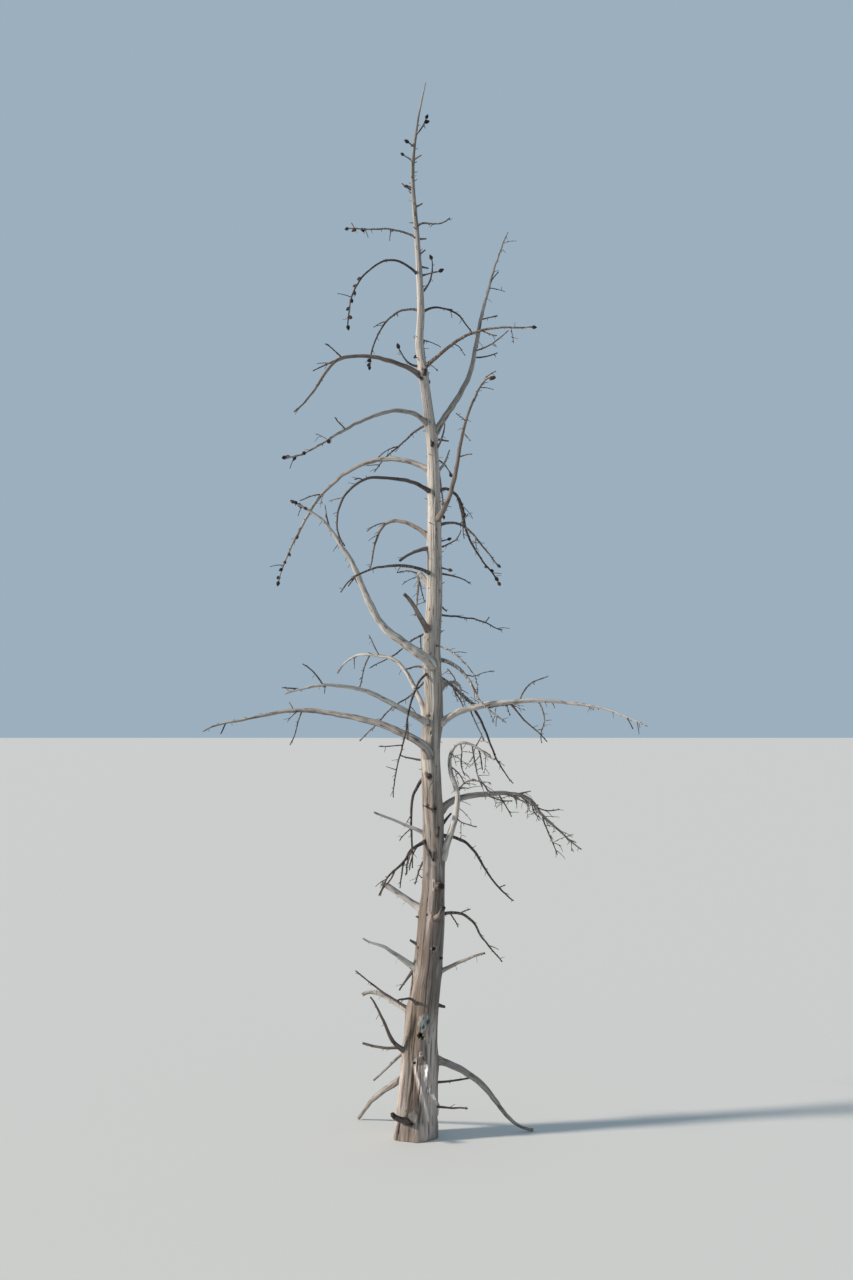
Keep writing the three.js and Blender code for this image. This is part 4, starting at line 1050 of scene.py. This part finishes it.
# The scar where a strip has peeled off the foot
peeledScar = {
    # Height, then the bearings of its left edge, its ridge and its right edge
    "edges": [(60, -122, -46, 20), (141, -119, -61, -5), (186, -117, -71, -37), (236, -114, -82, -60),
              (300, -109, -99, -66), (345, -108, -108, -71)],
    "leftDepth": 6,
    "rightDepth": 3.5,
    "ridgeHeight": 4,
    "ridgeWidth": (21, 10),  # at the low end and the high end
    "lipHeight": 7,
    "lipWidth": (9, 0.6, 0.9),  # and its least share and the range above it where it is ragged
    "ragged": (0.6, 1.6),  # how much of the lip is left, on average and by noise
    "above": 20,  # millimetres over its top that are still looked at
    "ends": (30, 10),  # millimetres over which it fades in at the low end and out at the high end
    "bite": 5,  # degrees that its edges wander
    "edge": 2,  # degrees over which a side falls away
    "rightEdge": 1.5,
    "leftDark": (0.2, 0.4),
    "rightClean": 0.5,  # how much of the darkness is gone on the right
    "ridgePale": 0.88,
    "lipPale": (0.93, 0.07),
    "rightPale": 0.35,
    "ridgeStain": 0.5,
}


def wrapped(angle):
    return (angle + math.pi) % (2 * math.pi) - math.pi


def furrowRelief(height, angle):
    least = trunkSkin["furrowLeast"]
    fade = least + (1 - least) * np.exp(-height / trunkSkin["furrowFade"])
    total = np.zeros_like(height)
    wide, tall = trunkSkin["furrowSway"]
    for count, depth, phase in trunkSkin["furrows"]:
        sway = phase + trunkSkin["twist"] * height * count / 2 + wide * np.sin(height / tall + phase * 3)
        total += depth * (np.abs(np.sin(angle * count / 2 + sway)) - trunkSkin["furrowMiddle"])
    return total * fade


def seededGrooves():
    # Drying cracks, most of them narrow, spread over the whole trunk, with painted shade inside them that is
    # darker low down
    rule = dryingCracks
    random = randomFrom(rule["seed"])
    grooves = []
    slimmest, slimSpan, fullRadius = rule["slim"]
    for _ in range(rule["count"]):
        low = random() ** rule["gatherLow"] * rule["top"]
        long = atShare(rule["length"], random() ** 2)
        bearing = random() * 360 - 180
        slimmer = slimmest + slimSpan * float(trunkRadius(low)) / fullRadius
        wide = atShare(rule["halfWidth"], random() ** 2) * slimmer
        fresh = math.exp(-low / rule["fade"])
        deep = wide * atShare(rule["depth"], random()) * atShare(rule["fadedDepth"], fresh)
        drift = math.degrees(trunkSkin["twist"]) * long + random() * rule["drift"] - rule["drift"] / 2
        darkness = atShare(rule["fadedDarkness"], fresh) * atShare(rule["uneven"], random())
        grooves.append((low, low + long, bearing, bearing + drift, wide, deep, darkness))
    return grooves


grooveLook = {
    "waver": 1.6,  # degrees to either side
    "waverHeight": 31,
    "narrowest": 0.15,  # share of the width that is left at the ends
    "wallEase": 0.8,
    "darkWidth": 1.35,  # width of the painted shade in a groove, in half widths
}


def cutGrooves(relief, dark, heights, angle, radius):
    look = grooveLook
    for low, high, lowBearing, highBearing, wide, deep, darkness in trunkGrooves + seededGrooves():
        rows = np.flatnonzero((heights > low) & (heights < high))
        if not len(rows):
            continue
        share = (heights[rows] - low) / (high - low)
        waver = look["waver"] * np.sin(heights[rows] / look["waverHeight"] + low)
        line = np.radians(lowBearing + (highBearing - lowBearing) * share + waver)
        ends = np.sqrt(np.clip(1 - (2 * share - 1) ** 2, 0, 1))
        width = wide * np.maximum(ends, look["narrowest"])
        off = np.abs(wrapped(angle[rows] - line[:, None])) * radius[rows] / width[:, None]
        relief[rows] -= deep * ends[:, None] * np.clip(1 - off, 0, 1) ** look["wallEase"]
        # Painted shade inside the groove
        shade = darkness * ends[:, None] * np.clip(look["darkWidth"] - off, 0, 1)
        dark[rows] = np.maximum(dark[rows], shade)


markLook = {  # distances are from a mark's middle, with 1 at its edge
    "ragged": 0.16,
    "lobes": 5,
    "hollow": (0.45, 1.05),
    # where a knot's own dark and the painted shade in its hollow fade out
    "darkness": (0.6, 1.15),
    "rim": (1.3, 0.3),  # where the rim is highest, and its half width
    "palePart": 0.4,
    "reach": 2.5,
    "reachMore": 10,  # millimetres
}


def markDistance(heights, angle, radius, at, bearing, wide, tall, lean):
    # How far each place lies from a mark's middle, with 1 at its ragged edge
    across = wrapped(angle - math.radians(bearing)) * radius
    up = np.broadcast_to((heights - at)[:, None], across.shape)
    cosine, sine = math.cos(math.radians(lean)), math.sin(math.radians(lean))
    off = np.hypot((across * cosine - up * sine) / wide, (across * sine + up * cosine) / tall)
    ragged, lobes = markLook["ragged"], markLook["lobes"]
    return off * (1 + ragged * np.sin(lobes * np.arctan2(up, across) + at))


def cutMarks(relief, dark, pale, heights, angle, radius):
    look = markLook
    crest, rimWidth = look["rim"]
    for at, bearing, wide, tall, lean, deep, rim, darkness, paleness in trunkMarks:
        reach = look["reach"] * max(wide, tall) + look["reachMore"]
        rows = np.flatnonzero(np.abs(heights - at) < reach)
        off = markDistance(heights[rows], angle[rows], radius[rows], at, bearing, wide, tall, lean)
        hollow = deep * (1 - easeBetween(off, *look["hollow"]))
        relief[rows] += rim * np.exp(-(((off - crest) / rimWidth) ** 2)) - hollow
        # The mark's dark: a knot's own dark wood and painted shade in its hollow
        dark[rows] = np.maximum(dark[rows], darkness * (1 - easeBetween(off, *look["darkness"])))
        pale[rows] = np.maximum(pale[rows], paleness * np.exp(-(((off - crest) / look["palePart"]) ** 2)))


def growCallus(relief, callus, heights, angle, radius, noise):
    for at, bearing, wide, tall, lean, swelling, strength in callusMarks:
        off = markDistance(heights, angle, radius, at, bearing, wide, tall, lean)
        inside = 1 - easeBetween(off + noise * callusLook["ragged"], *callusLook["edge"])
        relief += (swelling - callusLook["rough"] * noise) * inside
        callus += strength * inside * np.clip(atShare(callusLook["cover"], noise), 0, 1)


def cutScar(relief, dark, pale, stain, heights, angle, radius, noise):
    scar = peeledScar
    edges = np.array(scar["edges"], float)
    low, high = edges[0, 0], edges[-1, 0]
    rows = np.flatnonzero(heights < high + scar["above"])
    left, ridge, right = (np.interp(heights[rows], edges[:, 0], edges[:, k])[:, None] for k in (1, 2, 3))
    bearing = np.degrees(wrapped(angle[rows]))
    bite = noise[rows] * scar["bite"]
    edge, fadeIn, fadeOut = scar["edge"], *scar["ends"]
    level = heights[rows][:, None]
    tall = easeBetween(level, low, low + fadeIn) * (1 - easeBetween(level, high - fadeOut, high))
    inLeft = easeBetween(bearing - left + bite, -edge, edge)
    inLeft = inLeft * easeBetween(ridge - bearing, -edge, edge) * tall
    inRight = easeBetween(bearing - ridge, -edge, edge)
    inRight = inRight * easeBetween(right - bearing + bite, -scar["rightEdge"], edge) * tall
    toMillimetres = math.pi / 180 * radius[rows]
    ridgeWidth = np.interp(heights[rows], (low, high), scar["ridgeWidth"])[:, None]
    onRidge = np.exp(-(((bearing - ridge) * toMillimetres / ridgeWidth) ** 4)) * tall
    ragged = np.clip(atShare(scar["ragged"], noise[rows]), 0, 1)
    widest, *share = scar["lipWidth"]
    lipWidth = widest * atShare(share, ragged)
    onLip = np.exp(-(((bearing - right - bite) * toMillimetres / lipWidth) ** 4)) * tall
    relief[rows] -= inLeft * scar["leftDepth"] + inRight * scar["rightDepth"]
    relief[rows] += onRidge * scar["ridgeHeight"] + onLip * scar["lipHeight"] * ragged
    streaks = np.clip(0.5 + noise[rows], 0, 1)
    kept = dark[rows] * (1 - onRidge) * (1 - onLip) * (1 - inRight * scar["rightClean"])
    dark[rows] = np.maximum(kept, inLeft * (1 - onRidge) * atShare(scar["leftDark"], streaks))
    for paleness in (onRidge * scar["ridgePale"], onLip * atShare(scar["lipPale"], ragged),
                     inRight * scar["rightPale"]):
        pale[rows] = np.maximum(pale[rows], paleness)
    stain[rows] = stain[rows] * (1 - inRight) * (1 - onLip) * (1 - onRidge) + onRidge * scar["ridgeStain"]


zoneLook = {"softEnds": 0.22, "ragged": 0.5, "softSides": (0.5, 1.15)}


def addZones(layer, zones, heights, angle, noise):
    # Soft-edged zones, broken up along the grain
    for low, high, bearing, wide, strength in zones:
        soft = (high - low) * zoneLook["softEnds"]
        tall = easeBetween(heights, low - soft, low + soft)
        tall = tall * (1 - easeBetween(heights, high - soft, high + soft))
        off = np.abs(wrapped(angle - math.radians(bearing))) / math.radians(wide)
        share = 1 - easeBetween(off + noise * zoneLook["ragged"], *zoneLook["softSides"])
        np.maximum(layer, strength * tall[:, None] * share, out=layer)


def swellAtLimbs(relief, dark, heights, angle, radius):
    # The trunk swells a little round each limb and stub, mostly below it, and painted shade darkens the
    # crease round each
    wide, taller, lower = trunkSkin["swellingSize"]
    rimAt, rimWide, rimDark = trunkSkin["limbCreaseShade"]
    for row in limbRows + allStubs():
        reach = row["thick"] * wide
        rows = np.flatnonzero(np.abs(heights - row["at"]) < reach * trunkSkin["swellingReach"])
        across = wrapped(angle[rows] - math.radians(rootBearing(row))) * radius[rows]
        up = (heights[rows] - row["at"] + row["thick"] * lower)[:, None]
        off = np.hypot(across / reach, up / (reach * taller))
        relief[rows] += trunkSkin["swelling"] * row["thick"] * np.exp(-(off**2))
        # A ring of painted shade in the crease round the limb
        rim = np.hypot(across, (heights[rows] - row["at"])[:, None]) / (row["thick"] / 2)
        dark[rows] = np.maximum(dark[rows], rimDark * np.exp(-(((rim - rimAt) / rimWide) ** 2)))


def grainAround(heights, angle, radius):
    # Where the grain lies, bent round each limb as it grew past it
    bent = angle - heights[:, None] * trunkSkin["twist"]
    far, wide, taller = trunkSkin["grainBend"]
    for row in limbRows + allStubs():
        if row["thick"] < trunkSkin["grainBendFrom"]:
            continue
        reach = row["thick"] * wide
        rows = np.flatnonzero(np.abs(heights - row["at"]) < reach * trunkSkin["grainBendReach"])
        across = wrapped(angle[rows] - math.radians(rootBearing(row))) * radius[rows]
        up = (heights[rows] - row["at"])[:, None]
        pull = np.exp(-((across / reach) ** 2) - (up / (reach * taller)) ** 2)
        bent[rows] -= far * across * pull / radius[rows]
    return bent


def makeTrunk(materials):
    skin = trunkSkin
    foot = np.arange(0, skin["footTop"], skin["footStep"])
    upper = np.arange(skin["footTop"], trunkForm["height"], skin["upperStep"])
    heights = np.append(np.append(foot, upper), trunkForm["height"])
    sides = skin["sides"]
    angle = np.broadcast_to(np.arange(sides) / sides * 2 * math.pi, (len(heights), sides))
    radius = trunkRadiusAround(heights[:, None], angle)
    fullRadius, *leastAndMost = skin["slim"]
    slim = np.clip(radius / fullRadius, *leastAndMost)
    level = np.broadcast_to(heights[:, None], radius.shape)
    spots = np.stack([radius * np.cos(angle), radius * np.sin(angle), level], axis=-1)
    coarse = smoothNoise(spots / skin["coarse"], seeds["coarse"])
    fine = smoothNoise(spots / skin["fine"], seeds["fineRelief"])
    coarseHeight, fineHeight = skin["relief"]
    relief = (furrowRelief(level, angle) + coarse * coarseHeight + fine * fineHeight) * slim
    # Painted shade darkens the low spots of the relief
    coarseDark, fineDark, darkest = skin["dipShade"]
    dark = np.clip(-coarse * coarseDark - fine * fineDark, 0, darkest)
    pale, stain, callus = (np.zeros_like(dark) for _ in range(3))
    addZones(stain, brownZones, heights, angle, coarse + fine)
    addZones(pale, paleZones, heights, angle, coarse + fine)
    cutGrooves(relief, dark, heights, angle, radius)
    growCallus(relief, callus, heights, angle, radius, fine)
    cutMarks(relief, dark, pale, heights, angle, radius)
    cutScar(relief, dark, pale, stain, heights, angle, radius, fine)
    swellAtLimbs(relief, dark, heights, angle, radius)
    reach = np.maximum(radius + relief, radius * skin["leastReach"])
    middle = trunkMiddle(heights)
    points = np.stack([middle[:, None, 0] + reach * np.cos(angle),
                       middle[:, None, 1] + reach * np.sin(angle), level], axis=-1).reshape(-1, 3)
    bent = grainAround(heights, angle, radius)
    grain = np.stack([radius * np.cos(bent), radius * np.sin(bent), level], axis=-1).reshape(-1, 3)
    points = np.vstack([points, middle[0], middle[-1]])
    grain = np.vstack([grain, grain[0], grain[-1]])
    rings = len(heights)
    triangles = np.vstack([capTriangles(0, rings * sides, sides, -1),
                           capTriangles((rings - 1) * sides, rings * sides + 1, sides, 1)])
    pile = newPile()
    marks = {name: np.append(layer.ravel(), [0, 0])
             for name, layer in zip(markNames, (dark, pale, stain, callus))}
    addToPile(pile, points, ringQuads(rings, sides), triangles, grain, 0, **marks)
    return makePiece("trunkWood", pile, materials, "trunk_wood", "trunk")


# Cones

coneLook = {
    "scales": 44,
    "goldenTurn": 137.5,  # degrees from one scale to the next
    "core": 0.74,  # the core's radius as a share of the cone's
    "thinnest": 0.4,
    "blunt": (0.06, 0.94),  # where its outline starts on half a turn of a sine, and the range from there
    "widestLow": 0.72,  # 1 would be widest at the middle
    "coreSides": 8,
    "coreRings": 6,
    "scaleWide": 3.6,
    "scaleTall": 4.4,
    "smallest": 0.55,  # the least size of a scale at the cone's ends
    "between": (0.04, 0.9),  # where the first scale stands along the cone, and how far they reach from there
    "tipOut": 0.98,  # how far out a scale's crest stands, in radii of the cone, and millimetres more
    "tipMore": 0.6,
    "crestUp": 0.45,
    "below": 0.7,
    "sunk": 1.5,
    "root": 2,
    "size": (0.68, 0.88),  # smallest and largest, as a share of the full size
    "spin": 6.28,  # radians that it may be turned about itself
    "seed": 61,
}


def coneWidth(share):
    # A closed egg, widest below its middle and drawn in to a blunt point
    place = np.clip(atShare(coneLook["blunt"], share), 0, 1)
    return coneForm["radius"] * np.sin(math.pi * place ** coneLook["widestLow"])


def coneShape():
    # A core with overlapping closed scales in a spiral, each one a small eight-faced wedge
    look, long = coneLook, coneForm["length"]
    shares = np.linspace(0, 1, look["coreRings"])
    angle = np.arange(look["coreSides"]) / look["coreSides"] * 2 * math.pi
    width = np.maximum(coneWidth(shares) * look["core"], look["thinnest"])[:, None]
    level = np.broadcast_to(shares[:, None] * long - look["root"], (len(shares), len(angle)))
    core = np.stack([width * np.cos(angle), width * np.sin(angle), level], axis=-1)
    points = [core.reshape(-1, 3), [[0, 0, -look["root"]], [0, 0, long - look["root"]]]]
    count = look["coreRings"] * look["coreSides"]
    triangles = [capTriangles(0, count, look["coreSides"], -1),
                 capTriangles(count - look["coreSides"], count + 1, look["coreSides"], 1)]
    first = count + 2
    lowest, reach = look["between"]
    more = look["tipMore"]
    for i in range(look["scales"]):
        share = lowest + reach * (i + 0.5) / look["scales"]
        turn = math.radians(look["goldenTurn"] * i)
        out = np.array([math.cos(turn), math.sin(turn), 0.0])
        across = np.array([-math.sin(turn), math.cos(turn), 0.0])
        radius = float(coneWidth(share))
        size = look["smallest"] + (1 - look["smallest"]) * radius / coneForm["radius"]
        middle = out * radius * look["core"] + axisZ * (share * long - look["root"])
        wide, tall = across * look["scaleWide"] * size, axisZ * look["scaleTall"] * size
        crest = middle + out * (radius * (look["tipOut"] - look["core"]) + more) + tall * look["crestUp"]
        points.append([middle - out * look["sunk"], crest, middle + wide + out * more, middle + tall,
                       middle - wide + out * more, middle - tall * look["below"]])
        for k in range(4):  # the rim's four corners, round the sunk root and the crest
            here, there = first + 2 + k, first + 2 + (k + 1) % 4
            triangles.append([[first + 1, here, there], [first, there, here]])
        first += 6
    return np.vstack(points), ringQuads(look["coreRings"], look["coreSides"]), np.vstack(triangles)


def turnedTo(direction, turn):
    # The turn that takes a thing that points up to the direction, spun about itself
    side = unit(np.cross(direction, axisAcross(direction)))
    over = np.cross(direction, side)
    spun = side * math.cos(turn) + over * math.sin(turn)
    return np.stack([spun, np.cross(direction, spun), direction], axis=0)


def makeCones(materials):
    points, quads, triangles = coneShape()
    pile = newPile()
    random = randomFrom(coneLook["seed"])
    least, most = coneLook["size"]
    for cone in cones:
        size = least + (most - least) * random()
        turn = random() * coneLook["spin"]
        tone = min(int(random() * len(materials)), len(materials) - 1)
        at = crooked(cone["at"][None])[0]
        placed = points * (size, size, size) @ turnedTo(cone["direction"], turn) + at
        addToPile(pile, placed, quads, triangles, points + at, tone)
    return makePiece("cones", pile, materials, "twig_wood", *twigNodes)


# Materials

woodLook = {
    "trunkToneAndShadeByHeight": [  # share of the tree's height, colour; the darker lower trunk is partly weathered wood and partly painted shade
        (0.0, (136, 126, 119)), (0.1, (119, 110, 104)), (0.2, (122, 112, 106)),
        (0.3, (149, 138, 130)), (0.4, (150, 140, 129)), (0.5, (180, 171, 162)),
        (0.8, (182, 175, 169)), (1.0, (136, 130, 126)),
    ],
    "streak": (88, 74, 62),
    "bleach": (204, 197, 189),
    # the colour of painted shade in low spots, grooves, hollows and creases, and of dark knots, tips and
    # hair cracks
    "shadeAndCrack": (26, 21, 18),
    "brownZone": (122, 103, 88),
    "callus": (122, 134, 134),
    "bleachedZone": (194, 180, 172),
    "rawEdge": (248, 243, 238),
    "grains": {  # repeats to a metre, round the stem twice and along it, then detail and roughness
        "fibre": ((430, 430, 15), 4.0, 0.65),
        "streak": ((85, 85, 3.6), 5.0, 0.62),
        "patch": ((11, 11, 2.8), 3.0, 0.5),
        "hairCrack": ((75, 75, 2.3), 2.0, 0.5),
    },
    "layers": [  # a colour, the grain that lays it on, from and to which value, and how strongly
        ("bleach", "patch", 0.5, 0.66, 0.55),
        ("streak", "streak", 0.48, 0.66, 0.55),
        ("streak", "fibre", 0.52, 0.8, 0.45),
    ],
    "rawFrom": 0.8,  # paler marks than this turn from bleached to raw wood
    "stainGrain": (0.25, 0.6),
    "hairWidth": 0.014,
    "hairDark": 0.75,
    "roughness": (0.68, 0.92),
    "bump": 0.0012,  # metres
}

limbTones = {  # colour, darker flecks and bleached streaks of each tone of limb
    "dark": ((92, 82, 77), (44, 38, 36), (128, 118, 112)),
    "brown": ((118, 105, 96), (58, 49, 44), (156, 146, 138)),
    "grey": ((146, 138, 131), (78, 69, 63), (182, 176, 170)),
    "pale": ((180, 173, 166), (98, 86, 77), (208, 203, 197)),
}

limbLook = {
    "grains": {
        "fibre": ((520, 520, 26), 4.0, 0.6),
        "blotch": ((95, 95, 22), 4.0, 0.6),
        "streak": ((110, 110, 5), 3.0, 0.55),
    },
    "layers": [
        ("bleach", "streak", 0.48, 0.66, 0.75),
        ("fleck", "blotch", 0.52, 0.66, 0.8),
        ("fleck", "fibre", 0.55, 0.8, 0.35),
    ],
    "roughness": (0.7, 0.92),
    "bump": 0.0009,
}

twigLook = {
    "mottle": ((140, 140, 60), 3.0, 0.6),
    "fleck": (0.4, 0.62),
    "bleach": (0.42, 0.3, 0.5),
    "roughness": (0.72, 0.92),
    "bump": 0.0006,
}

# Which tone a fork or twig takes on a limb of each tone, picked by seed
twigTones = {
    "dark": ["dark", "dark", "brown"],
    "brown": ["dark", "brown", "brown"],
    "grey": ["brown", "brown", "dark", "grey"],
    "pale": ["brown", "brown", "grey", "dark"],
}

coneColours = [(38, 32, 30), (52, 42, 37), (86, 64, 52)]
coneSkin = {
    "mottle": ((300, 300, 300), 2.0, 0.5),
    "lighter": 1.35,
    "light": (0.4, 0.7),
    "roughness": (0.6, 0.85),
    "bump": 0.0005,
}


surface = {"bumpStrength": 0.7, "shine": 0.3}  # of every wood and cone


def startMaterial(name):
    material = bpy.data.materials.new(name)
    material.use_nodes = True
    return material, material.node_tree, material.node_tree.nodes["Principled BSDF"]


def addNode(tree, kind, inputs, **settings):
    # A node with its settings, and its inputs either linked or set
    node = tree.nodes.new(kind)
    for name, value in settings.items():
        setattr(node, name, value)
    for name, value in inputs.items():
        if isinstance(value, bpy.types.NodeSocket):
            tree.links.new(value, node.inputs[name])
        else:
            node.inputs[name].default_value = value
    return node


def grainNoise(tree, where, scale, detail, rough):
    spread = addNode(tree, "ShaderNodeMapping", {"Vector": where, "Scale": scale})
    settings = {"Vector": spread.outputs["Vector"], "Scale": 1.0, "Detail": detail, "Roughness": rough}
    return addNode(tree, "ShaderNodeTexNoise", settings).outputs["Fac"]


def ramp(tree, value, stops):
    node = addNode(tree, "ShaderNodeValToRGB", {"Fac": value})
    colours = node.color_ramp.elements
    while len(colours) < len(stops):
        colours.new(0.5)
    for element, (place, colour) in zip(colours, stops):
        element.position = place
        element.color = linearColour(colour)
    return node.outputs["Color"]


def between(tree, value, low, high):
    # How far a value stands between two levels, eased
    levels = {"Value": value, "From Min": low, "From Max": high}
    return addNode(tree, "ShaderNodeMapRange", levels, interpolation_type="SMOOTHSTEP").outputs["Result"]


def times(tree, first, second):
    return addNode(tree, "ShaderNodeMath", {0: first, 1: second}, operation="MULTIPLY").outputs["Value"]


def mixed(tree, share, first, second):
    colours = {"Factor": share, 6: first, 7: second}
    return addNode(tree, "ShaderNodeMix", colours, data_type="RGBA").outputs[2]


def laid(tree, colour, over, value, low, high, strength):
    # A second colour laid over the first where a value passes from low to high
    return mixed(tree, times(tree, between(tree, value, low, high), strength), colour, over)


def mark(tree, name):
    return addNode(tree, "ShaderNodeAttribute", {}, attribute_name=name)


def layered(tree, where, colour, look, colours):
    # The colour with a look's layers laid over it, and the grains that lay them
    grains = {name: grainNoise(tree, where, *rule) for name, rule in look["grains"].items()}
    for over, grain, low, high, strength in look["layers"]:
        colour = laid(tree, colour, colours[over], grains[grain], low, high, strength)
    return colour, grains


def finishSurface(tree, shader, colour, grain, look):
    # The grain that colours the surface makes it rougher too, and raises it a little
    tree.links.new(colour, shader.inputs["Base Color"])
    rough = {"Value": grain, "To Min": look["roughness"][0], "To Max": look["roughness"][1]}
    roughness = addNode(tree, "ShaderNodeMapRange", rough).outputs["Result"]
    tree.links.new(roughness, shader.inputs["Roughness"])
    raised = {"Height": grain, "Distance": look["bump"], "Strength": surface["bumpStrength"]}
    bump = addNode(tree, "ShaderNodeBump", raised)
    tree.links.new(bump.outputs["Normal"], shader.inputs["Normal"])
    shader.inputs["Specular IOR Level"].default_value = surface["shine"]


def thinLines(tree, waves, width):
    # Thin lines along the grain, where a stretched noise passes its middle value
    aside = addNode(tree, "ShaderNodeMath", {0: waves, 1: 0.5}, operation="SUBTRACT").outputs["Value"]
    off = addNode(tree, "ShaderNodeMath", {0: aside}, operation="ABSOLUTE").outputs["Value"]
    return between(tree, off, width, 0.0)


def trunkMaterial():
    material, tree, shader = startMaterial("weatheredTrunk")
    look = woodLook
    colours = {name: linearColour(look[name]) for name in (
        "streak", "bleach", "shadeAndCrack", "brownZone", "callus", "bleachedZone", "rawEdge")}
    where = mark(tree, "grain").outputs["Vector"]
    height = addNode(tree, "ShaderNodeSeparateXYZ", {"Vector": where}).outputs["Z"]
    share = addNode(tree, "ShaderNodeMapRange", {"Value": height, "From Max": trunkForm["height"] * mm})
    # The colour by height, darker low down partly from painted shade
    colour = ramp(tree, share.outputs["Result"], look["trunkToneAndShadeByHeight"])
    colour, grains = layered(tree, where, colour, look, colours)
    dark, pale, stain, callus = (mark(tree, name).outputs["Fac"] for name in markNames)
    colour = mixed(tree, between(tree, pale, 0.0, look["rawFrom"]), colour, colours["bleachedZone"])
    stain = times(tree, stain, between(tree, grains["fibre"], *look["stainGrain"]))
    colour = mixed(tree, stain, colour, colours["brownZone"])
    colour = mixed(tree, between(tree, pale, look["rawFrom"], 1.0), colour, colours["rawEdge"])
    colour = mixed(tree, callus, colour, colours["callus"])
    cracks = thinLines(tree, grains["hairCrack"], look["hairWidth"])
    colour = mixed(tree, times(tree, cracks, look["hairDark"]), colour, colours["shadeAndCrack"])
    # The dark mark: painted shade in low spots, grooves, hollows and the creases round limbs, with the real
    # dark of knots and of the scar's left side
    colour = mixed(tree, dark, colour, colours["shadeAndCrack"])
    finishSurface(tree, shader, colour, grains["fibre"], look)
    return material


def limbMaterial(tone):
    material, tree, shader = startMaterial(tone + "Limb")
    body, fleck, bleach = (linearColour(colour) for colour in limbTones[tone])
    where = mark(tree, "grain").outputs["Vector"]
    colour, grains = layered(tree, where, body, limbLook, {"fleck": fleck, "bleach": bleach})
    # Painted shade in the low spots of the lumps and ridges, and the dark tips
    colour = mixed(tree, mark(tree, "dark").outputs["Fac"], colour, linearColour(woodLook["shadeAndCrack"]))
    finishSurface(tree, shader, colour, grains["fibre"], limbLook)
    return material


def twigMaterial(tone):
    # A plain tone with a soft even mottle that has no place of its own
    material, tree, shader = startMaterial(tone + "Twig")
    body, fleck, bleach = (linearColour(colour) for colour in limbTones[tone])
    where = addNode(tree, "ShaderNodeTexCoord", {}).outputs["Object"]
    mottle = grainNoise(tree, where, *twigLook["mottle"])
    colour = mixed(tree, between(tree, mottle, *twigLook["fleck"]), body, fleck)
    colour = laid(tree, colour, bleach, mottle, *twigLook["bleach"])
    finishSurface(tree, shader, colour, mottle, twigLook)
    return material


def coneMaterial(index):
    material, tree, shader = startMaterial(f"cone{index + 1}")
    where = addNode(tree, "ShaderNodeTexCoord", {}).outputs["Object"]
    mottle = grainNoise(tree, where, *coneSkin["mottle"])
    body = np.array(coneColours[index])
    light = linearColour(np.minimum(body * coneSkin["lighter"], 255))
    colour = mixed(tree, between(tree, mottle, *coneSkin["light"]), linearColour(body), light)
    finishSurface(tree, shader, colour, mottle, coneSkin)
    return material


# The pieces

tones = list(limbTones)
twigNodes = [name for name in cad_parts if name.startswith("twigs_")]
mainLimbs = [row["name"] for row in limbRows if row["split"] > 0]

tips = {
    "brokenFrom": 7.5,  # thickness of a main limb's tip from which it ends broken off
    "thickStub": 12,  # thickness from which a stub ends broken off and dark
    "thickDark": 0.75,
    "thinDark": 0.3,
}


def withRoot(strand):
    # A limb's line with a root that runs back into the trunk
    path, radii = crooked(strand["path"]), strand["radii"]
    back = unit(path[0] - path[1])
    depth = rootDepth(strand["row"]["at"])
    rooted = np.vstack([path[0] + back * depth, path[0] + back * depth / 2, path])
    return rooted, np.append([radii[0]] * 2, radii)


def makeMainLimbs(materials):
    for seed, strand in enumerate(s for s in strands if s["kind"] == "limb"):
        name = strand["row"]["name"]
        if name not in mainLimbs:
            continue
        pile = newPile()
        broken = strand["row"]["tip"] > tips["brokenFrom"]
        addTube(pile, *withRoot(strand), seed, broken, darkTip=tips["thinDark"])
        nodes = [node for node in ("bough_" + name, "twigs_" + name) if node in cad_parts]
        makePiece("limb_" + name, pile, [materials[strand["tone"]]], "bough_wood", *nodes)


def makeThinLimbs(materials):
    # The limbs that are twigs all the way, with every fork, twig and snag, joined
    pile = newPile()
    random = randomFrom(seeds["thinTones"])
    for seed, strand in enumerate(strands):
        kind = strand["kind"]
        if kind == "limb" and strand["row"]["name"] in mainLimbs:
            continue
        if strand["owner"] == "trunk":
            continue
        tube = withRoot(strand) if kind == "limb" else (crooked(strand["path"]), strand["radii"])
        choices = [strand["tone"]] if kind == "limb" else twigTones[strand["tone"]]
        tone = choices[min(int(random() * len(choices)), len(choices) - 1)]
        addTube(pile, *tube, seeds["thinSkin"] + seed, False, tones.index(tone))
    return makePiece("twigs", pile, list(materials.values()), "twig_wood", *twigNodes)


def makeStubs(materials):
    # Short broken limbs and stubs, with the twigs on them
    pile = newPile()
    for seed, strand in enumerate(strands):
        if strand["owner"] != "trunk":
            continue
        tone = tones.index(strand["tone"])
        skinSeed = seeds["stubSkin"] + seed
        if strand["kind"] == "stub":
            thick = strand["row"]["thick"] >= tips["thickStub"]
            dark = tips["thickDark"] if thick else tips["thinDark"]
            addTube(pile, *withRoot(strand), skinSeed, thick, tone, dark)
        else:
            addTube(pile, crooked(strand["path"]), strand["radii"], skinSeed, False, tone)
    return makePiece("stubs", pile, [materials[tone] for tone in tones], "trunk_wood", "trunk")


makeTrunk([trunkMaterial()])
limbMaterials = {tone: limbMaterial(tone) for tone in tones}
makeMainLimbs(limbMaterials)
makeStubs(limbMaterials)
makeThinLimbs({tone: twigMaterial(tone) for tone in tones})
makeCones([coneMaterial(index) for index in range(len(coneColours))])
